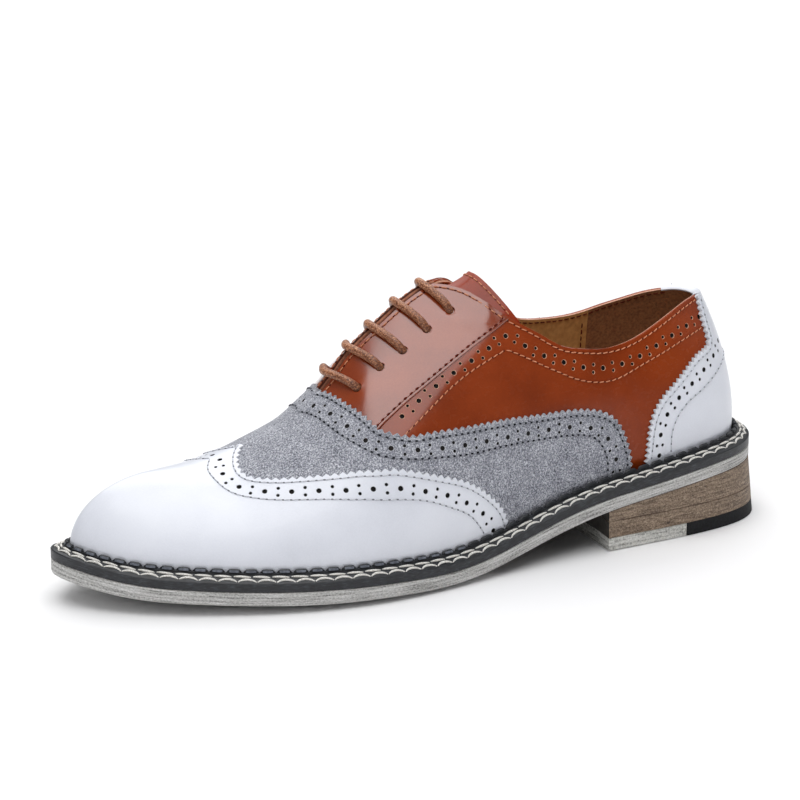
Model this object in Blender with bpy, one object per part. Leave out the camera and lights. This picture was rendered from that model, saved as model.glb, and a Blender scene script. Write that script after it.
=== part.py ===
"""A left brogue oxford at real size: a hollow upper on a welted sole with a stacked heel.

Lengths are in millimetres. x runs from the heel's back (0) to the toe, y to the outer side and z
up from the floor. add_mesh() puts the origin under the middle of the shoe, in metres.

A station s follows the edge of the sole: 0 at the heel's back, 1 at the toe's tip, positive along
the outer side and negative along the inner side. A rise h goes up a section of the upper, from 0
at the welt to 1 at the ridge over the foot.
"""

from types import SimpleNamespace

import bmesh
import bpy
import numpy as np
from mathutils import Vector
from mathutils.geometry import delaunay_2d_cdt

MM = 0.001
GAP = 0.3

LENGTH = 300.0
MIDDLE = (LENGTH / 2, 2.134, 0.0)

OUTSOLE_BEVEL = 0.9
TREAD_INSET = 11.0
WELT_THICKNESS = 3.4
WELT_SLOPE = 2.0
WELT_LAP = 0.9
RIB_HEIGHT = 1.8
RIB_WIDTH = 1.7
RIB_SIDE = 0.45
RIB_TO_UPPER = 2.4
INSOLE_RISE = 0.6

HEEL_BREAST = 86.0
HEEL_HOLLOW = 2.5
HEEL_INSET = 0.4
HEEL_PULL = 2.8
HEEL_PULL_END = 60.0
HEEL_SEAT = 24.0
TOPLIFT_HEIGHT = 5.2
RUBBER_FRONT = 48.0
LOWER_LIFT_TOP = 12.0
HEEL_ROWS = 10
HEEL_COLUMNS = 5

WALL = 1.7
FACING_GAP = 2.8
THROAT = 191.0
FACING_TOP = 144.5
FEATHER_CLEARANCE = 0.5

PANEL_FOOT = 0.012
PANEL_HEAD = 0.006
PANEL_GAP = 0.5
PANELS_APART = 0.4
EDGE_STEP = 5.0
FACING_THICKNESS = 0.5
FACING_FRONT = 188.5
FACING_CORNER = 143.5
FACING_BACK = 122.0
FACING_FOOT_RISES = (0.57, 0.92)
COUNTER_THICKNESS = 1.0
VAMP_THICKNESS = 1.0
CAP_THICKNESS = 1.5

TONGUE_THICKNESS = 2.0
TONGUE_CLEARANCE = 0.95
TONGUE_FRONT = 200.0
TONGUE_TOP = 128.5
TONGUE_DROOP = 8.0
TONGUE_HALF_WIDTH = (17.0, 27.0)
TONGUE_ROUND = 8.0
TONGUE_CURL = 1.8

LACE_DIAMETER = 3.3
LACE_FORWARD = 6.0
EYELETS = ((182.5, 0.783), (173.1, 0.773), (163.8, 0.755), (153.2, 0.757), (142.7, 0.772))

HEEL_CENTRE = 46.0
TOE_CENTRE = 260.0
CENTRE_BLEND = 16.0

SOLE_STATIONS = 76
STATIONS = 108
ROWS = 1 - (1 - np.linspace(0, 1, 11)) ** 1.35
INNER_ROWS = (0, 2, 4, 5, 6, 7, 8, 9, 10)
RIDGE_BLEND = 0.02
BORDER_MARGIN = 2.5
SHARP_EDGE = np.radians(40)
SMALL = 1e-4


def spline(xs, ys):
    """A natural cubic spline through the points, as a function."""
    xs, ys = np.asarray(xs, float), np.asarray(ys, float)
    step, rise = np.diff(xs), np.diff(ys) / np.diff(xs)
    count = len(xs)
    system, right = np.eye(count), np.zeros(count)
    for i in range(1, count - 1):
        system[i, i - 1 : i + 2] = step[i - 1], 2 * (step[i - 1] + step[i]), step[i]
        right[i] = 6 * (rise[i] - rise[i - 1])
    bend = np.linalg.solve(system, right)

    def value(x):
        x = np.asarray(x, float)
        i = np.clip(np.searchsorted(xs, x) - 1, 0, count - 2)
        t = x - xs[i]
        slope = rise[i] - step[i] * (2 * bend[i] + bend[i + 1]) / 6
        return ys[i] + t * (slope + t * (bend[i] / 2 + t * (bend[i + 1] - bend[i]) / (6 * step[i])))

    return value


def columns(names, rows):
    """A table as smooth functions of its first column, one for each named column after it."""
    data = np.array(rows, float).T
    functions = {name: spline(data[0], values) for name, values in zip(names.split()[1:], data[1:])}
    return SimpleNamespace(**functions)


# Plan of the sole's edge
SOLE_PLAN = np.array(
    [
        # x, outer y, inner y
        (12, 23.0, -25.0),
        (36, 32.4, -32.5),
        (62, 35.6, -33.0),
        (88, 37.6, -30.0),
        (115, 40.4, -28.5),
        (143, 46.0, -33.0),
        (170, 51.2, -41.0),
        (195, 52.8, -47.0),
        (218, 49.8, -48.5),
        (242, 42.3, -45.0),
        (262, 33.2, -38.0),
        (280, 22.0, -28.5),
        (292, 10.8, -19.5),
    ]
)
HEEL_BACK_Y = -2.0
TOE_TIP_Y = -5.5

# Side view of the sole: height of the outsole's lower edge, its thickness, and how far the tread
# bulges below that edge
SOLE_SIDE = columns(
    "x edge thickness bulge",
    (
        (0, 24.0, 5.4, 0.0),
        (40, 21.6, 5.1, 0.0),
        (62, 19.2, 5.0, 0.0),
        (77, 17.4, 5.1, 0.0),
        (91, 15.2, 5.3, 0.0),
        (110, 10.9, 5.4, 0.8),
        (129, 6.2, 5.2, 2.2),
        (145, 2.9, 5.2, 2.6),
        (160, 1.5, 5.2, 2.6),
        (185, 1.8, 5.4, 2.6),
        (210, 2.35, 5.5, 2.6),
        (231, 3.1, 5.4, 2.4),
        (258, 4.5, 5.4, 2.0),
        (280, 6.3, 5.6, 1.6),
        (300, 10.6, 5.9, 1.2),
    ),
)

# Sections of the upper: ridge height over the floor, the lower wall's height and outward lean,
# the crown's share of the half width, how far the foot of the wall stands in from the sole's edge,
# and how steeply the two sides of the lacing fall away from the ridge
UPPER_SIDE = columns(
    "x ridge wall lean crown inset tilt",
    (
        (0, 118.0, 31.0, 0.14, 0.24, 11.5, 0.0),
        (45, 117.5, 42.0, 0.13, 0.33, 9.0, 0.0),
        (85, 117.0, 50.0, 0.13, 0.40, 8.5, 0.0),
        (115, 114.2, 55.2, 0.13, 0.44, 8.3, 0.2),
        (132, 110.8, 58.3, 0.14, 0.45, 8.2, 0.5),
        (144, 107.0, 57.7, 0.14, 0.45, 8.2, 0.58),
        (156, 101.0, 55.5, 0.15, 0.45, 8.2, 0.6),
        (167, 93.0, 52.5, 0.15, 0.45, 8.2, 0.6),
        (175, 86.8, 49.3, 0.15, 0.45, 8.2, 0.58),
        (181, 81.2, 45.3, 0.15, 0.45, 8.2, 0.5),
        (188, 72.3, 38.9, 0.15, 0.455, 8.2, 0.34),
        (193.5, 66.5, 34.1, 0.15, 0.458, 8.2, 0.19),
        (197, 62.8, 31.2, 0.15, 0.46, 8.2, 0.11),
        (201, 59.2, 28.7, 0.15, 0.462, 8.2, 0.04),
        (207, 55.7, 26.2, 0.15, 0.465, 8.2, 0.0),
        (215, 52.5, 23.3, 0.15, 0.47, 8.2, 0.0),
        (235, 45.4, 17.0, 0.14, 0.51, 8.2, 0.0),
        (258, 43.2, 12.7, 0.13, 0.55, 8.4, 0.0),
        (300, 42.0, 12.0, 0.09, 0.64, 9.2, 0.0),
    ),
)
RIDGE_Y = spline((0, 60, 120, 170, 220, 260, 300), (-1, -1.2, -1.8, -2.4, -4.2, -5.5, -5.5))

# Collar: rise of its edge at each section, from the heel's back to the top of the facing
COLLAR = columns(
    "x rise",
    (
        (0, 0.54),
        (25, 0.527),
        (52, 0.455),
        (70, 0.403),
        (84, 0.396),
        (93, 0.412),
        (101.3, 0.441),
        (109.2, 0.501),
        (116.8, 0.567),
        (125.3, 0.674),
        (134.1, 0.833),
        (FACING_TOP, 0.975),
    ),
)
# The same for the inner side, where the edge dips less
INNER_COLLAR = columns(
    "x rise",
    (
        (0, 0.54),
        (11, 0.529),
        (23, 0.514),
        (36, 0.493),
        (47, 0.469),
        (57.5, 0.448),
        (67.5, 0.428),
        (77.5, 0.419),
        (87.5, 0.424),
        (97, 0.441),
        (108, 0.496),
        (116.8, 0.567),
        (125.3, 0.674),
        (134.1, 0.833),
        (FACING_TOP, 0.975),
    ),
)

# Edges of the panels on the outer side, as x and rise. The inner side has the same ones
CAP_EDGE = (
    (224.0, 1.0),
    (230.7, 0.87),
    (232.3, 0.722),
    (227.3, 0.647),
    (214.4, 0.553),
    (200.2, 0.474),
    (175, 0.293),
    (148.9, 0.170),
    (136.2, 0.086),
    (129, PANEL_FOOT),
)
VAMP_EDGE = (
    (192.4, 1.0),
    (189.6, 0.902),
    (187.3, 0.726),
    (184.0, 0.580),
    (171.9, 0.416),
    (150.9, 0.342),
    (118.9, 0.277),
    (91.5, 0.228),
    (82.3, 0.199),
    (76.6, 0.155),
    (71, PANEL_FOOT),
)
COUNTER_EDGE = (
    (17, 0.535),
    (22.4, 0.440),
    (23.4, 0.370),
    (32.5, 0.328),
    (51.5, 0.234),
    (60, 0.172),
    (63.4, 0.085),
    (64, PANEL_FOOT),
)
FACING_EDGE = ((121.4, 0.604), (129.8, 0.594), (139.8, 0.573), (154.2, 0.547), (168.5, 0.535), (180.2, 0.524))


def x_of(s):
    return LENGTH * (1 - np.cos(np.pi * np.asarray(s, float))) / 2


def station_at(x):
    return np.arccos(np.clip(1 - 2 * np.asarray(x, float) / LENGTH, -1, 1)) / np.pi


def closed_edge():
    """y of the sole's edge for a station. The points repeat past the toe, so its tip is round."""
    s, outer, inner = station_at(SOLE_PLAN[:, 0]), SOLE_PLAN[:, 1], SOLE_PLAN[:, 2]
    stations = np.concatenate([s - 2, [-1], -s[::-1], [0], s, [1], 2 - s[::-1]])
    heel, toe = [HEEL_BACK_Y], [TOE_TIP_Y]
    places = np.concatenate([outer, toe, inner[::-1], heel, outer, toe, inner[::-1]])
    return spline(stations, places)


edge_y = closed_edge()


def sole_edge(s, inset=0.0):
    """Plan points of the sole's edge, moved in by inset."""
    ahead, behind = s + SMALL, s - SMALL
    along = np.stack([x_of(ahead) - x_of(behind), edge_y(ahead) - edge_y(behind)], -1)
    along /= np.linalg.norm(along, axis=-1, keepdims=True)
    inward = np.stack([along[..., 1], -along[..., 0]], -1)
    return np.stack([x_of(s), edge_y(s)], -1) + inward * np.asarray(inset)[..., None]


def lower_edge(x):
    return SOLE_SIDE.edge(np.clip(x, 0, LENGTH))


def tread(x):
    """The walked-on underside: flat on the floor under the ball, and level with its edge at the heel."""
    return np.maximum(lower_edge(x) - np.maximum(SOLE_SIDE.bulge(np.clip(x, 0, LENGTH)), 0), 0)


def outsole_top(x):
    return lower_edge(x) + SOLE_SIDE.thickness(np.clip(x, 0, LENGTH))


def welt_top(x):
    return outsole_top(x) + GAP + WELT_THICKNESS


def centre_x(x):
    """Ridge point that a section leans to: level with it, but kept off the heel's and toe's ends."""
    ahead = HEEL_CENTRE + CENTRE_BLEND * np.logaddexp(0, (x - HEEL_CENTRE) / CENTRE_BLEND)
    return TOE_CENTRE - CENTRE_BLEND * np.logaddexp(0, (TOE_CENTRE - ahead) / CENTRE_BLEND)


def section_frame(s):
    """Foot and ridge of the section at a station, its half width and its direction in plan."""
    x = x_of(s)
    foot = sole_edge(s, UPPER_SIDE.inset(x))
    middle = centre_x(x)
    ridge = np.stack([middle, RIDGE_Y(middle)], -1)
    across = ridge - foot
    half = np.linalg.norm(across, axis=-1)
    return x, foot, ridge, half, across / half[..., None]


def on_upper(s, h):
    """Points of the upper's outer face: each section is one curve from the welt to the ridge."""
    s, h = np.broadcast_arrays(np.asarray(s, float), np.asarray(h, float))
    x, foot, ridge, half, across = section_frame(s)
    low = welt_top(foot[..., 0]) + FEATHER_CLEARANCE
    high = UPPER_SIDE.ridge(ridge[..., 0])
    slope = UPPER_SIDE.ridge(ridge[..., 0] + 0.5) - UPPER_SIDE.ridge(ridge[..., 0] - 0.5)
    wall, crown = UPPER_SIDE.wall(x), UPPER_SIDE.crown(x) * half
    first, second = 3 * (1 - h) ** 2 * h, 3 * (1 - h) * h**2
    inward = -first * UPPER_SIDE.lean(x) * wall + second * (half - crown) + h**3 * half
    crown_z = high - slope * across[..., 0] * crown - UPPER_SIDE.tilt(x) * crown
    z = (1 - h) ** 3 * low + first * (low + wall) + second * crown_z + h**3 * high
    return np.concatenate([foot + across * inward[..., None], z[..., None]], -1)


def facing_rise(s):
    """Rise of the facing's edge, half the gap away from the ridge."""
    x, _, _, half, _ = section_frame(s)
    return 1 - FACING_GAP / 2 / (3 * UPPER_SIDE.crown(x) * half)


def top_rise(s):
    """Rise of the upper's free edge: collar, facing, then the closed vamp in front of the throat."""
    x = x_of(s)
    behind = np.clip(x, 0, FACING_TOP)
    collar = np.where(np.asarray(s) < 0, INNER_COLLAR.rise(behind), COLLAR.rise(behind))
    collar = np.where(x < FACING_TOP, collar, 1.0)
    return np.where(x < THROAT, np.minimum(collar, facing_rise(s)), 1.0)


def one_side(s, h):
    """Unit normals of the outer face, each from its own side's sections."""
    h = np.clip(h, SMALL, 1 - SMALL)
    up = on_upper(s, h + SMALL) - on_upper(s, h - SMALL)
    along = on_upper(s + SMALL, h) - on_upper(s - SMALL, h)
    normal = np.cross(up, along)
    return normal / np.linalg.norm(normal, axis=-1, keepdims=True)


def outward(s, h):
    """Unit normals. On the ridge both sides share one, halfway between their own."""
    s, h = np.broadcast_arrays(np.asarray(s, float), np.asarray(h, float))
    share = np.clip(1 - (1 - h) / RIDGE_BLEND, 0, 1)[..., None] / 2
    normal = one_side(s, h) * (1 - share) + one_side(-s, h) * share
    return normal / np.linalg.norm(normal, axis=-1, keepdims=True)


def shell(s, h, proud):
    """Points of the upper's function, moved out by proud."""
    return on_upper(s, h) + outward(s, h) * np.asarray(proud)[..., None]


def slide(s, h, distance):
    """A line on the upper moved sideways along it, to the left of its run seen from outside."""
    points, normal = on_upper(s, h), outward(s, h)
    run = np.gradient(points, axis=0)
    side = np.cross(normal, run)
    side *= distance / np.linalg.norm(side, axis=-1, keepdims=True)
    low, high = np.clip(h - SMALL, 0, 1), np.clip(h + SMALL, 0, 1)
    by_s = (on_upper(s + SMALL, h) - on_upper(s - SMALL, h)) / (2 * SMALL)
    by_h = (on_upper(s, high) - on_upper(s, low)) / (high - low)[:, None]
    a, b, c = (by_s**2).sum(-1), (by_s * by_h).sum(-1), (by_h**2).sum(-1)
    p, q = (by_s * side).sum(-1), (by_h * side).sum(-1)
    determinant = a * c - b * b
    return s + (c * p - b * q) / determinant, np.clip(h + (a * q - b * p) / determinant, 0, 1)


def paint(name, colour, roughness):
    material = bpy.data.materials.new(name)
    material.use_nodes = True
    shader = material.node_tree.nodes["Principled BSDF"]
    shader.inputs["Base Color"].default_value = (*colour, 1.0)
    shader.inputs["Roughness"].default_value = roughness
    shader.inputs["Metallic"].default_value = 0.0
    material.diffuse_color = (*colour, 1.0)
    return material


def add_mesh(name, points, faces, material):
    """One closed object. Points that meet at its tapered ends are merged, and its faces turned out."""
    work = bmesh.new()
    corners = [work.verts.new(point) for point in (np.asarray(points) - MIDDLE) * MM]
    for face in faces:
        work.faces.new([corners[i] for i in face])
    bmesh.ops.remove_doubles(work, verts=work.verts, dist=1e-6)
    bmesh.ops.recalc_face_normals(work, faces=work.faces)
    mesh = bpy.data.meshes.new(name)
    work.to_mesh(mesh)
    work.free()
    mesh.shade_smooth()
    mesh.set_sharp_from_angle(angle=SHARP_EDGE)
    mesh.materials.append(material)
    piece = bpy.data.objects.new(name, mesh)
    bpy.context.scene.collection.objects.link(piece)
    piece.parent = SHOE
    return piece


def add_rings(name, rings, material, hollow=False):
    """Rings of stations joined in turn: capped with rungs across, or closed on themselves."""
    count, size = len(rings), len(rings[0])
    faces = []
    for ring in range(count if hollow else count - 1):
        after = (ring + 1) % count
        for i in range(size):
            j = (i + 1) % size
            faces.append((ring * size + i, ring * size + j, after * size + j, after * size + i))
    for start in () if hollow else (0, (count - 1) * size):
        for i in range(size // 2):
            rung = (i, i + 1, size - i - 1, (size - i) % size)
            faces.append([start + k for k in dict.fromkeys(rung)])
    return add_mesh(name, np.concatenate(rings), faces, material)


def add_slab(name, low, high, material):
    """A solid between two grids of points with the same rows and columns."""
    rows, across = low.shape[:2]
    number = np.arange(2 * rows * across).reshape(2, rows, across)
    faces = []
    for layer in number:
        for i in range(rows - 1):
            for j in range(across - 1):
                faces.append((layer[i, j], layer[i + 1, j], layer[i + 1, j + 1], layer[i, j + 1]))
    rim = [(i, 0) for i in range(rows)]
    rim += [(rows - 1, j) for j in range(1, across)]
    rim += [(i, across - 1) for i in range(rows - 2, -1, -1)]
    rim += [(0, j) for j in range(across - 2, 0, -1)]
    for here, there in zip(rim, rim[1:] + rim[:1]):
        faces.append((number[0][here], number[0][there], number[1][there], number[1][here]))
    points = np.concatenate([low.reshape(-1, 3), high.reshape(-1, 3)])
    return add_mesh(name, points, faces, material)


def sole_ring(inset, height, stations):
    """A ring in from the sole's edge, at a height that depends on x alone."""
    plan = sole_edge(stations, inset)
    return np.column_stack([plan, height(plan[:, 0])])


def heel_pull(x):
    """How far the outsole and the welt stand in at the heel's back, where the stack flares out below."""
    return HEEL_PULL * np.clip(1 - x / HEEL_PULL_END, 0, 1) ** 2


def make_outsole(stations):
    pull = heel_pull(x_of(stations))
    rings = [sole_ring(TREAD_INSET + pull, tread, stations)]
    rings.append(sole_ring(OUTSOLE_BEVEL + pull, lower_edge, stations))
    rings.append(sole_ring(pull, lambda x: lower_edge(x) + OUTSOLE_BEVEL, stations))
    rings.append(sole_ring(pull, outsole_top, stations))
    add_rings("outsole", rings, paint("sole_leather", (0.36, 0.35, 0.33), 0.7))


def inner_edge(x):
    """Inset of the welt's inner edge, just inside the wall that stands on the welt."""
    return UPPER_SIDE.inset(x) + WALL + WELT_LAP


def make_welt(stations):
    """A strip round the whole sole: it slopes up to a rib that stands against the upper."""
    x = x_of(stations)
    rib = UPPER_SIDE.inset(x) - RIB_TO_UPPER
    side = GAP + WELT_THICKNESS
    profile = (
        # inset, height over the outsole
        (heel_pull(x), GAP),
        (heel_pull(x), side),
        (rib - RIB_WIDTH, side + WELT_SLOPE),
        (rib - RIB_WIDTH + RIB_SIDE, side + WELT_SLOPE + RIB_HEIGHT),
        (rib - RIB_SIDE, side + WELT_SLOPE + RIB_HEIGHT),
        (rib, side),
        (inner_edge(x), side),
        (inner_edge(x), GAP),
    )
    rings = []
    for inset, height in profile:
        rings.append(sole_ring(inset, lambda place, up=height: outsole_top(place) + up, stations))
    add_rings("welt", rings, paint("welt_leather", (0.035, 0.036, 0.042), 0.5), hollow=True)


def make_insole(stations):
    inset = inner_edge(x_of(stations)) + GAP
    low = sole_ring(inset, lambda x: outsole_top(x) + GAP, stations)
    high = sole_ring(inset, lambda x: welt_top(x) + INSOLE_RISE, stations)
    add_rings("insole", [low, high], paint("sock_leather", (0.45, 0.27, 0.11), 0.6))


def heel_grid(back, front, height, hollow, level):
    """A grid over the heel from back to front, with the breast's hollow in its front rows.

    At the back it stands in from the plan by a share of the sole's own pull, its height over the floor.
    """
    stations = np.linspace(station_at(back), station_at(front), HEEL_ROWS)
    pull = heel_pull(x_of(stations))
    inset = pull * level / HEEL_SEAT + HEEL_INSET * (1 - pull / HEEL_PULL)
    outer, inner = sole_edge(stations, inset), sole_edge(-stations, inset)
    share = np.linspace(0, 1, HEEL_COLUMNS)[None, :, None]
    plan = inner[:, None] * (1 - share) + outer[:, None] * share
    ahead = np.linspace(0, 1, HEEL_ROWS)[:, None] ** 4
    plan[..., 0] -= hollow * ahead * (1 - (2 * share[..., 0] - 1) ** 2)
    return np.concatenate([plan, height(plan[..., :1])], -1)


def make_heel():
    """Two leather lifts under the seat, and a toplift that is leather in front and rubber behind."""
    floor = TOPLIFT_HEIGHT + GAP
    stack = paint("heel_stack", (0.22, 0.145, 0.09), 0.65)
    toplift = paint("toplift", (0.4, 0.39, 0.37), 0.7)
    rubber = paint("rubber", (0.012, 0.012, 0.012), 0.6)
    layers = (
        ("heel_lift_upper", 0, HEEL_BREAST, LOWER_LIFT_TOP + GAP, None, stack),
        ("heel_lift_lower", 0, HEEL_BREAST, floor, LOWER_LIFT_TOP, stack),
        ("toplift_leather", RUBBER_FRONT + GAP, HEEL_BREAST, 0, TOPLIFT_HEIGHT, toplift),
        ("toplift_rubber", 0, RUBBER_FRONT, 0, TOPLIFT_HEIGHT, rubber),
    )
    for name, back, front, low, high, material in layers:
        hollow = HEEL_HOLLOW if front == HEEL_BREAST else 0

        def top(x, level=high):
            return lower_edge(x) - GAP if level is None else 0 * x + level

        bottom = heel_grid(back, front, lambda x, level=low: 0 * x + level, hollow, low)
        upper_face = heel_grid(back, front, top, hollow, HEEL_SEAT if high is None else high)
        add_slab(name, bottom, upper_face, material)


def wall_rises(stations):
    return top_rise(stations)[:, None] * ROWS


def make_upper(stations):
    """The hollow wall: outer and inner faces, joined around the welt, the collar and the facings."""
    h = wall_rises(stations)
    s = np.repeat(stations[:, None], len(ROWS), axis=1)
    rows = list(INNER_ROWS)
    faces_of_wall = [shell(s, h, 0.0), shell(s[:, rows], h[:, rows], -WALL)]
    points = np.concatenate([face.reshape(-1, 3) for face in faces_of_wall])
    start = s.size
    number = [np.arange(start).reshape(s.shape)]
    number.append(start + np.arange(len(stations) * len(rows)).reshape(len(stations), len(rows)))
    is_open = top_rise(stations) < 1
    faces = []
    for i in range(len(stations)):
        j = (i + 1) % len(stations)
        for layer in number:
            for k in range(layer.shape[1] - 1):
                faces.append((layer[i, k], layer[j, k], layer[j, k + 1], layer[i, k + 1]))
        for end in (0, -1) if is_open[i] or is_open[j] else (0,):
            outer, inner = number[0][:, end], number[1][:, end]
            faces.append((outer[i], outer[j], inner[j], inner[i]))
    add_mesh("upper", points, faces, paint("tan_leather", (0.30, 0.055, 0.012), 0.28))


def girth(s, h):
    """Length of leather from each place up its section to the ridge."""
    rises = np.linspace(0, 1, 25)
    points = on_upper(s[:, None], rises[None])
    run = np.cumsum(np.linalg.norm(np.diff(points, axis=1), axis=2), axis=1)
    run = np.concatenate([0 * run[:, :1], run], axis=1)
    return run[:, -1] - [np.interp(rise, rises, line) for rise, line in zip(h, run)]


def chart(s, h):
    """A flat map of the upper, on which its panels are cut: the sections laid out from the ridge."""
    _, _, ridge, _, across = section_frame(s)
    return ridge - across * girth(s, h)[:, None]


def panel_line(points):
    """A smooth line on the outer side through places given as x and rise."""
    x, h = np.array(points, float).T
    flat = chart(station_at(x), h)
    run = np.concatenate([[0], np.cumsum(np.linalg.norm(np.diff(flat, axis=0), axis=1))])
    places = np.linspace(0, run[-1], round(run[-1] / EDGE_STEP) + 1)
    return station_at(spline(run, x)(places)), np.clip(spline(run, h)(places), 0, 1)


def wall_run(back, front, stations):
    """Stations from back to front, through the wall's own stations so that facets lie alike."""
    low, high = min(back, front), max(back, front)
    between = np.concatenate([stations, stations + 2])
    margin = (stations[1] - stations[0]) / 5
    between = between[(between > low + margin) & (between < high - margin)]
    run = np.concatenate([[low], between, [high]])[:: 1 if back < front else -1]
    return np.where(run > 1, run - 2, run)


def foot_line(back, front, stations):
    """A run along the welt."""
    run = wall_run(back, front, stations)
    return run, np.full(len(run), PANEL_FOOT)


def outline_of(*runs):
    """Lines joined end to end into one loop, each without its last point."""
    return tuple(np.concatenate([run[k][:-1] for run in runs]) for k in (0, 1))


def mirrored(run):
    return -run[0][::-1], run[1][::-1]


def inside(points, loop):
    """Which points of the flat map lie inside the loop."""
    start, end = loop, np.roll(loop, -1, axis=0)
    x, y = points[:, :1], points[:, 1:]
    crosses = (start[:, 1] > y) != (end[:, 1] > y)
    drop = np.where(start[:, 1] == end[:, 1], 1, end[:, 1] - start[:, 1])
    at = start[:, 0] + (y - start[:, 1]) / drop * (end[:, 0] - start[:, 0])
    return (crosses & (x < at)).sum(1) % 2 == 1


def distance_to(points, loop):
    """How far points lie from the loop's sides."""
    side = np.roll(loop, -1, axis=0) - loop
    share = ((points[:, None] - loop) * side).sum(-1) / (side**2).sum(-1)
    nearest = loop + np.clip(share, 0, 1)[..., None] * side
    return np.linalg.norm(points[:, None] - nearest, axis=-1).min(1)


def add_panel(name, outline, stations, thickness, material):
    """A panel cut from the upper's own function, between its face and a face further out."""
    s, h = outline
    loop = chart(s, h)
    grid_h = wall_rises(stations).ravel()
    grid_s = np.repeat(stations, len(ROWS))
    both_sides = (grid_h < 1) | (grid_s <= 0)
    grid_s, grid_h = grid_s[both_sides], grid_h[both_sides]
    kept = inside(chart(grid_s, grid_h), loop)
    kept &= distance_to(on_upper(grid_s, grid_h), on_upper(s, h)) > BORDER_MARGIN
    s, h = np.concatenate([s, grid_s[kept]]), np.concatenate([h, grid_h[kept]])
    border = [(i, (i + 1) % len(loop)) for i in range(len(loop))]
    flat = [Vector(point) for point in chart(s, h)]
    found = delaunay_2d_cdt(flat, border, [], 1, 1e-6)
    origin = np.array([ids[0] for ids in found[3]])
    triangles = [tuple(origin[list(face)]) for face in found[2]]
    size = len(s)
    faces = triangles + [tuple(size + i for i in face) for face in triangles]
    faces += [(i, j, size + j, size + i) for i, j in border]
    points = np.concatenate([shell(s, h, PANEL_GAP), shell(s, h, PANEL_GAP + thickness)])
    return add_mesh(name, points, faces, material)


def make_panels(stations):
    """Toe cap and vamp with their wings, the counter round the heel, and the two facings."""
    white = paint("white_leather", (0.78, 0.80, 0.86), 0.35)
    suede = paint("grey_suede", (0.27, 0.28, 0.31), 0.95)
    tan = paint("facing_leather", (0.32, 0.06, 0.014), 0.25)
    cap, vamp = panel_line(CAP_EDGE), panel_line(VAMP_EDGE)
    toe_run = foot_line(cap[0][-1], 2 - cap[0][-1], stations)
    add_panel("toe_cap", outline_of(cap, toe_run, mirrored(cap)), stations, CAP_THICKNESS, white)

    beside = slide(*cap, PANELS_APART)
    waist = foot_line(vamp[0][-1], beside[0][-1], stations)
    front = beside[0][::-1], beside[1][::-1]
    half = outline_of(vamp, waist, front)
    other = outline_of((-beside[0], beside[1]), mirrored(waist), mirrored(vamp))
    loop = tuple(np.concatenate([half[k], other[k]]) for k in (0, 1))
    add_panel("vamp", loop, stations, VAMP_THICKNESS, suede)

    counter = panel_line(COUNTER_EDGE)
    seat = foot_line(counter[0][-1], -counter[0][-1], stations)
    back = np.linspace(-counter[0][0], counter[0][0], 7)
    inner = mirrored(counter)
    inner = inner[0], np.minimum(inner[1], top_rise(inner[0]) - PANEL_HEAD)
    loop = outline_of(counter, seat, inner, (back, top_rise(back) - PANEL_HEAD))
    add_panel("counter", loop, stations, COUNTER_THICKNESS, white)

    above = slide(*vamp, PANELS_APART)
    lowest, highest = FACING_FOOT_RISES
    chosen = (above[1] > lowest) & (above[1] < highest)
    laced = wall_run(station_at(FACING_FRONT), station_at(FACING_TOP), stations)
    collar = wall_run(station_at(FACING_CORNER), station_at(FACING_BACK), stations)
    side = panel_line(FACING_EDGE)
    free_rises = np.concatenate([facing_rise(laced), top_rise(collar)]) - PANEL_HEAD
    loop = (
        np.concatenate([laced, collar, side[0], above[0][chosen][::-1]]),
        np.concatenate([free_rises, side[1], above[1][chosen][::-1]]),
    )
    add_panel("facing_outer", loop, stations, FACING_THICKNESS, tan)
    add_panel("facing_inner", (-loop[0][::-1], loop[1][::-1]), stations, FACING_THICKNESS, tan)


def rise_below_ridge(s, distance):
    """Rise at which a section has come down from the ridge by this much leather."""
    rises = np.linspace(1, 0, 60)
    found = []
    for station, length in zip(s, distance):
        found.append(np.interp(length, girth(0 * rises + station, rises), rises))
    return np.array(found)


def make_tongue():
    """A tongue under the facings, wider towards its rounded top, and round where they meet."""
    along = np.linspace(0, 1, 12)[:, None]
    across = np.linspace(-1, 1, 11)[None, :]
    reach = np.abs(across)
    x = TONGUE_FRONT + along * (TONGUE_TOP - TONGUE_FRONT - TONGUE_DROOP * reach**1.5)
    narrow, wide = TONGUE_HALF_WIDTH
    s = station_at(x) * np.where(across < 0, -1, 1)
    width = reach * (narrow + (wide - narrow) * along)
    h = rise_below_ridge(s.ravel(), width.ravel()).reshape(s.shape)
    normal, up = outward(s, h), outward(s, 0 * h + 1)
    depth = (WALL + TONGUE_CLEARANCE) / (normal * up).sum(-1)
    depth += UPPER_SIDE.tilt(x) * np.clip(TONGUE_ROUND - width, 0, None) ** 2 / (2 * TONGUE_ROUND)
    depth -= TONGUE_CURL * along**18 * (1 - reach**2) ** 3
    high = on_upper(s, h) - up * depth[..., None]
    low = high - up * TONGUE_THICKNESS
    add_slab("tongue", low, high, paint("tongue_leather", (0.30, 0.055, 0.012), 0.3))


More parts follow.
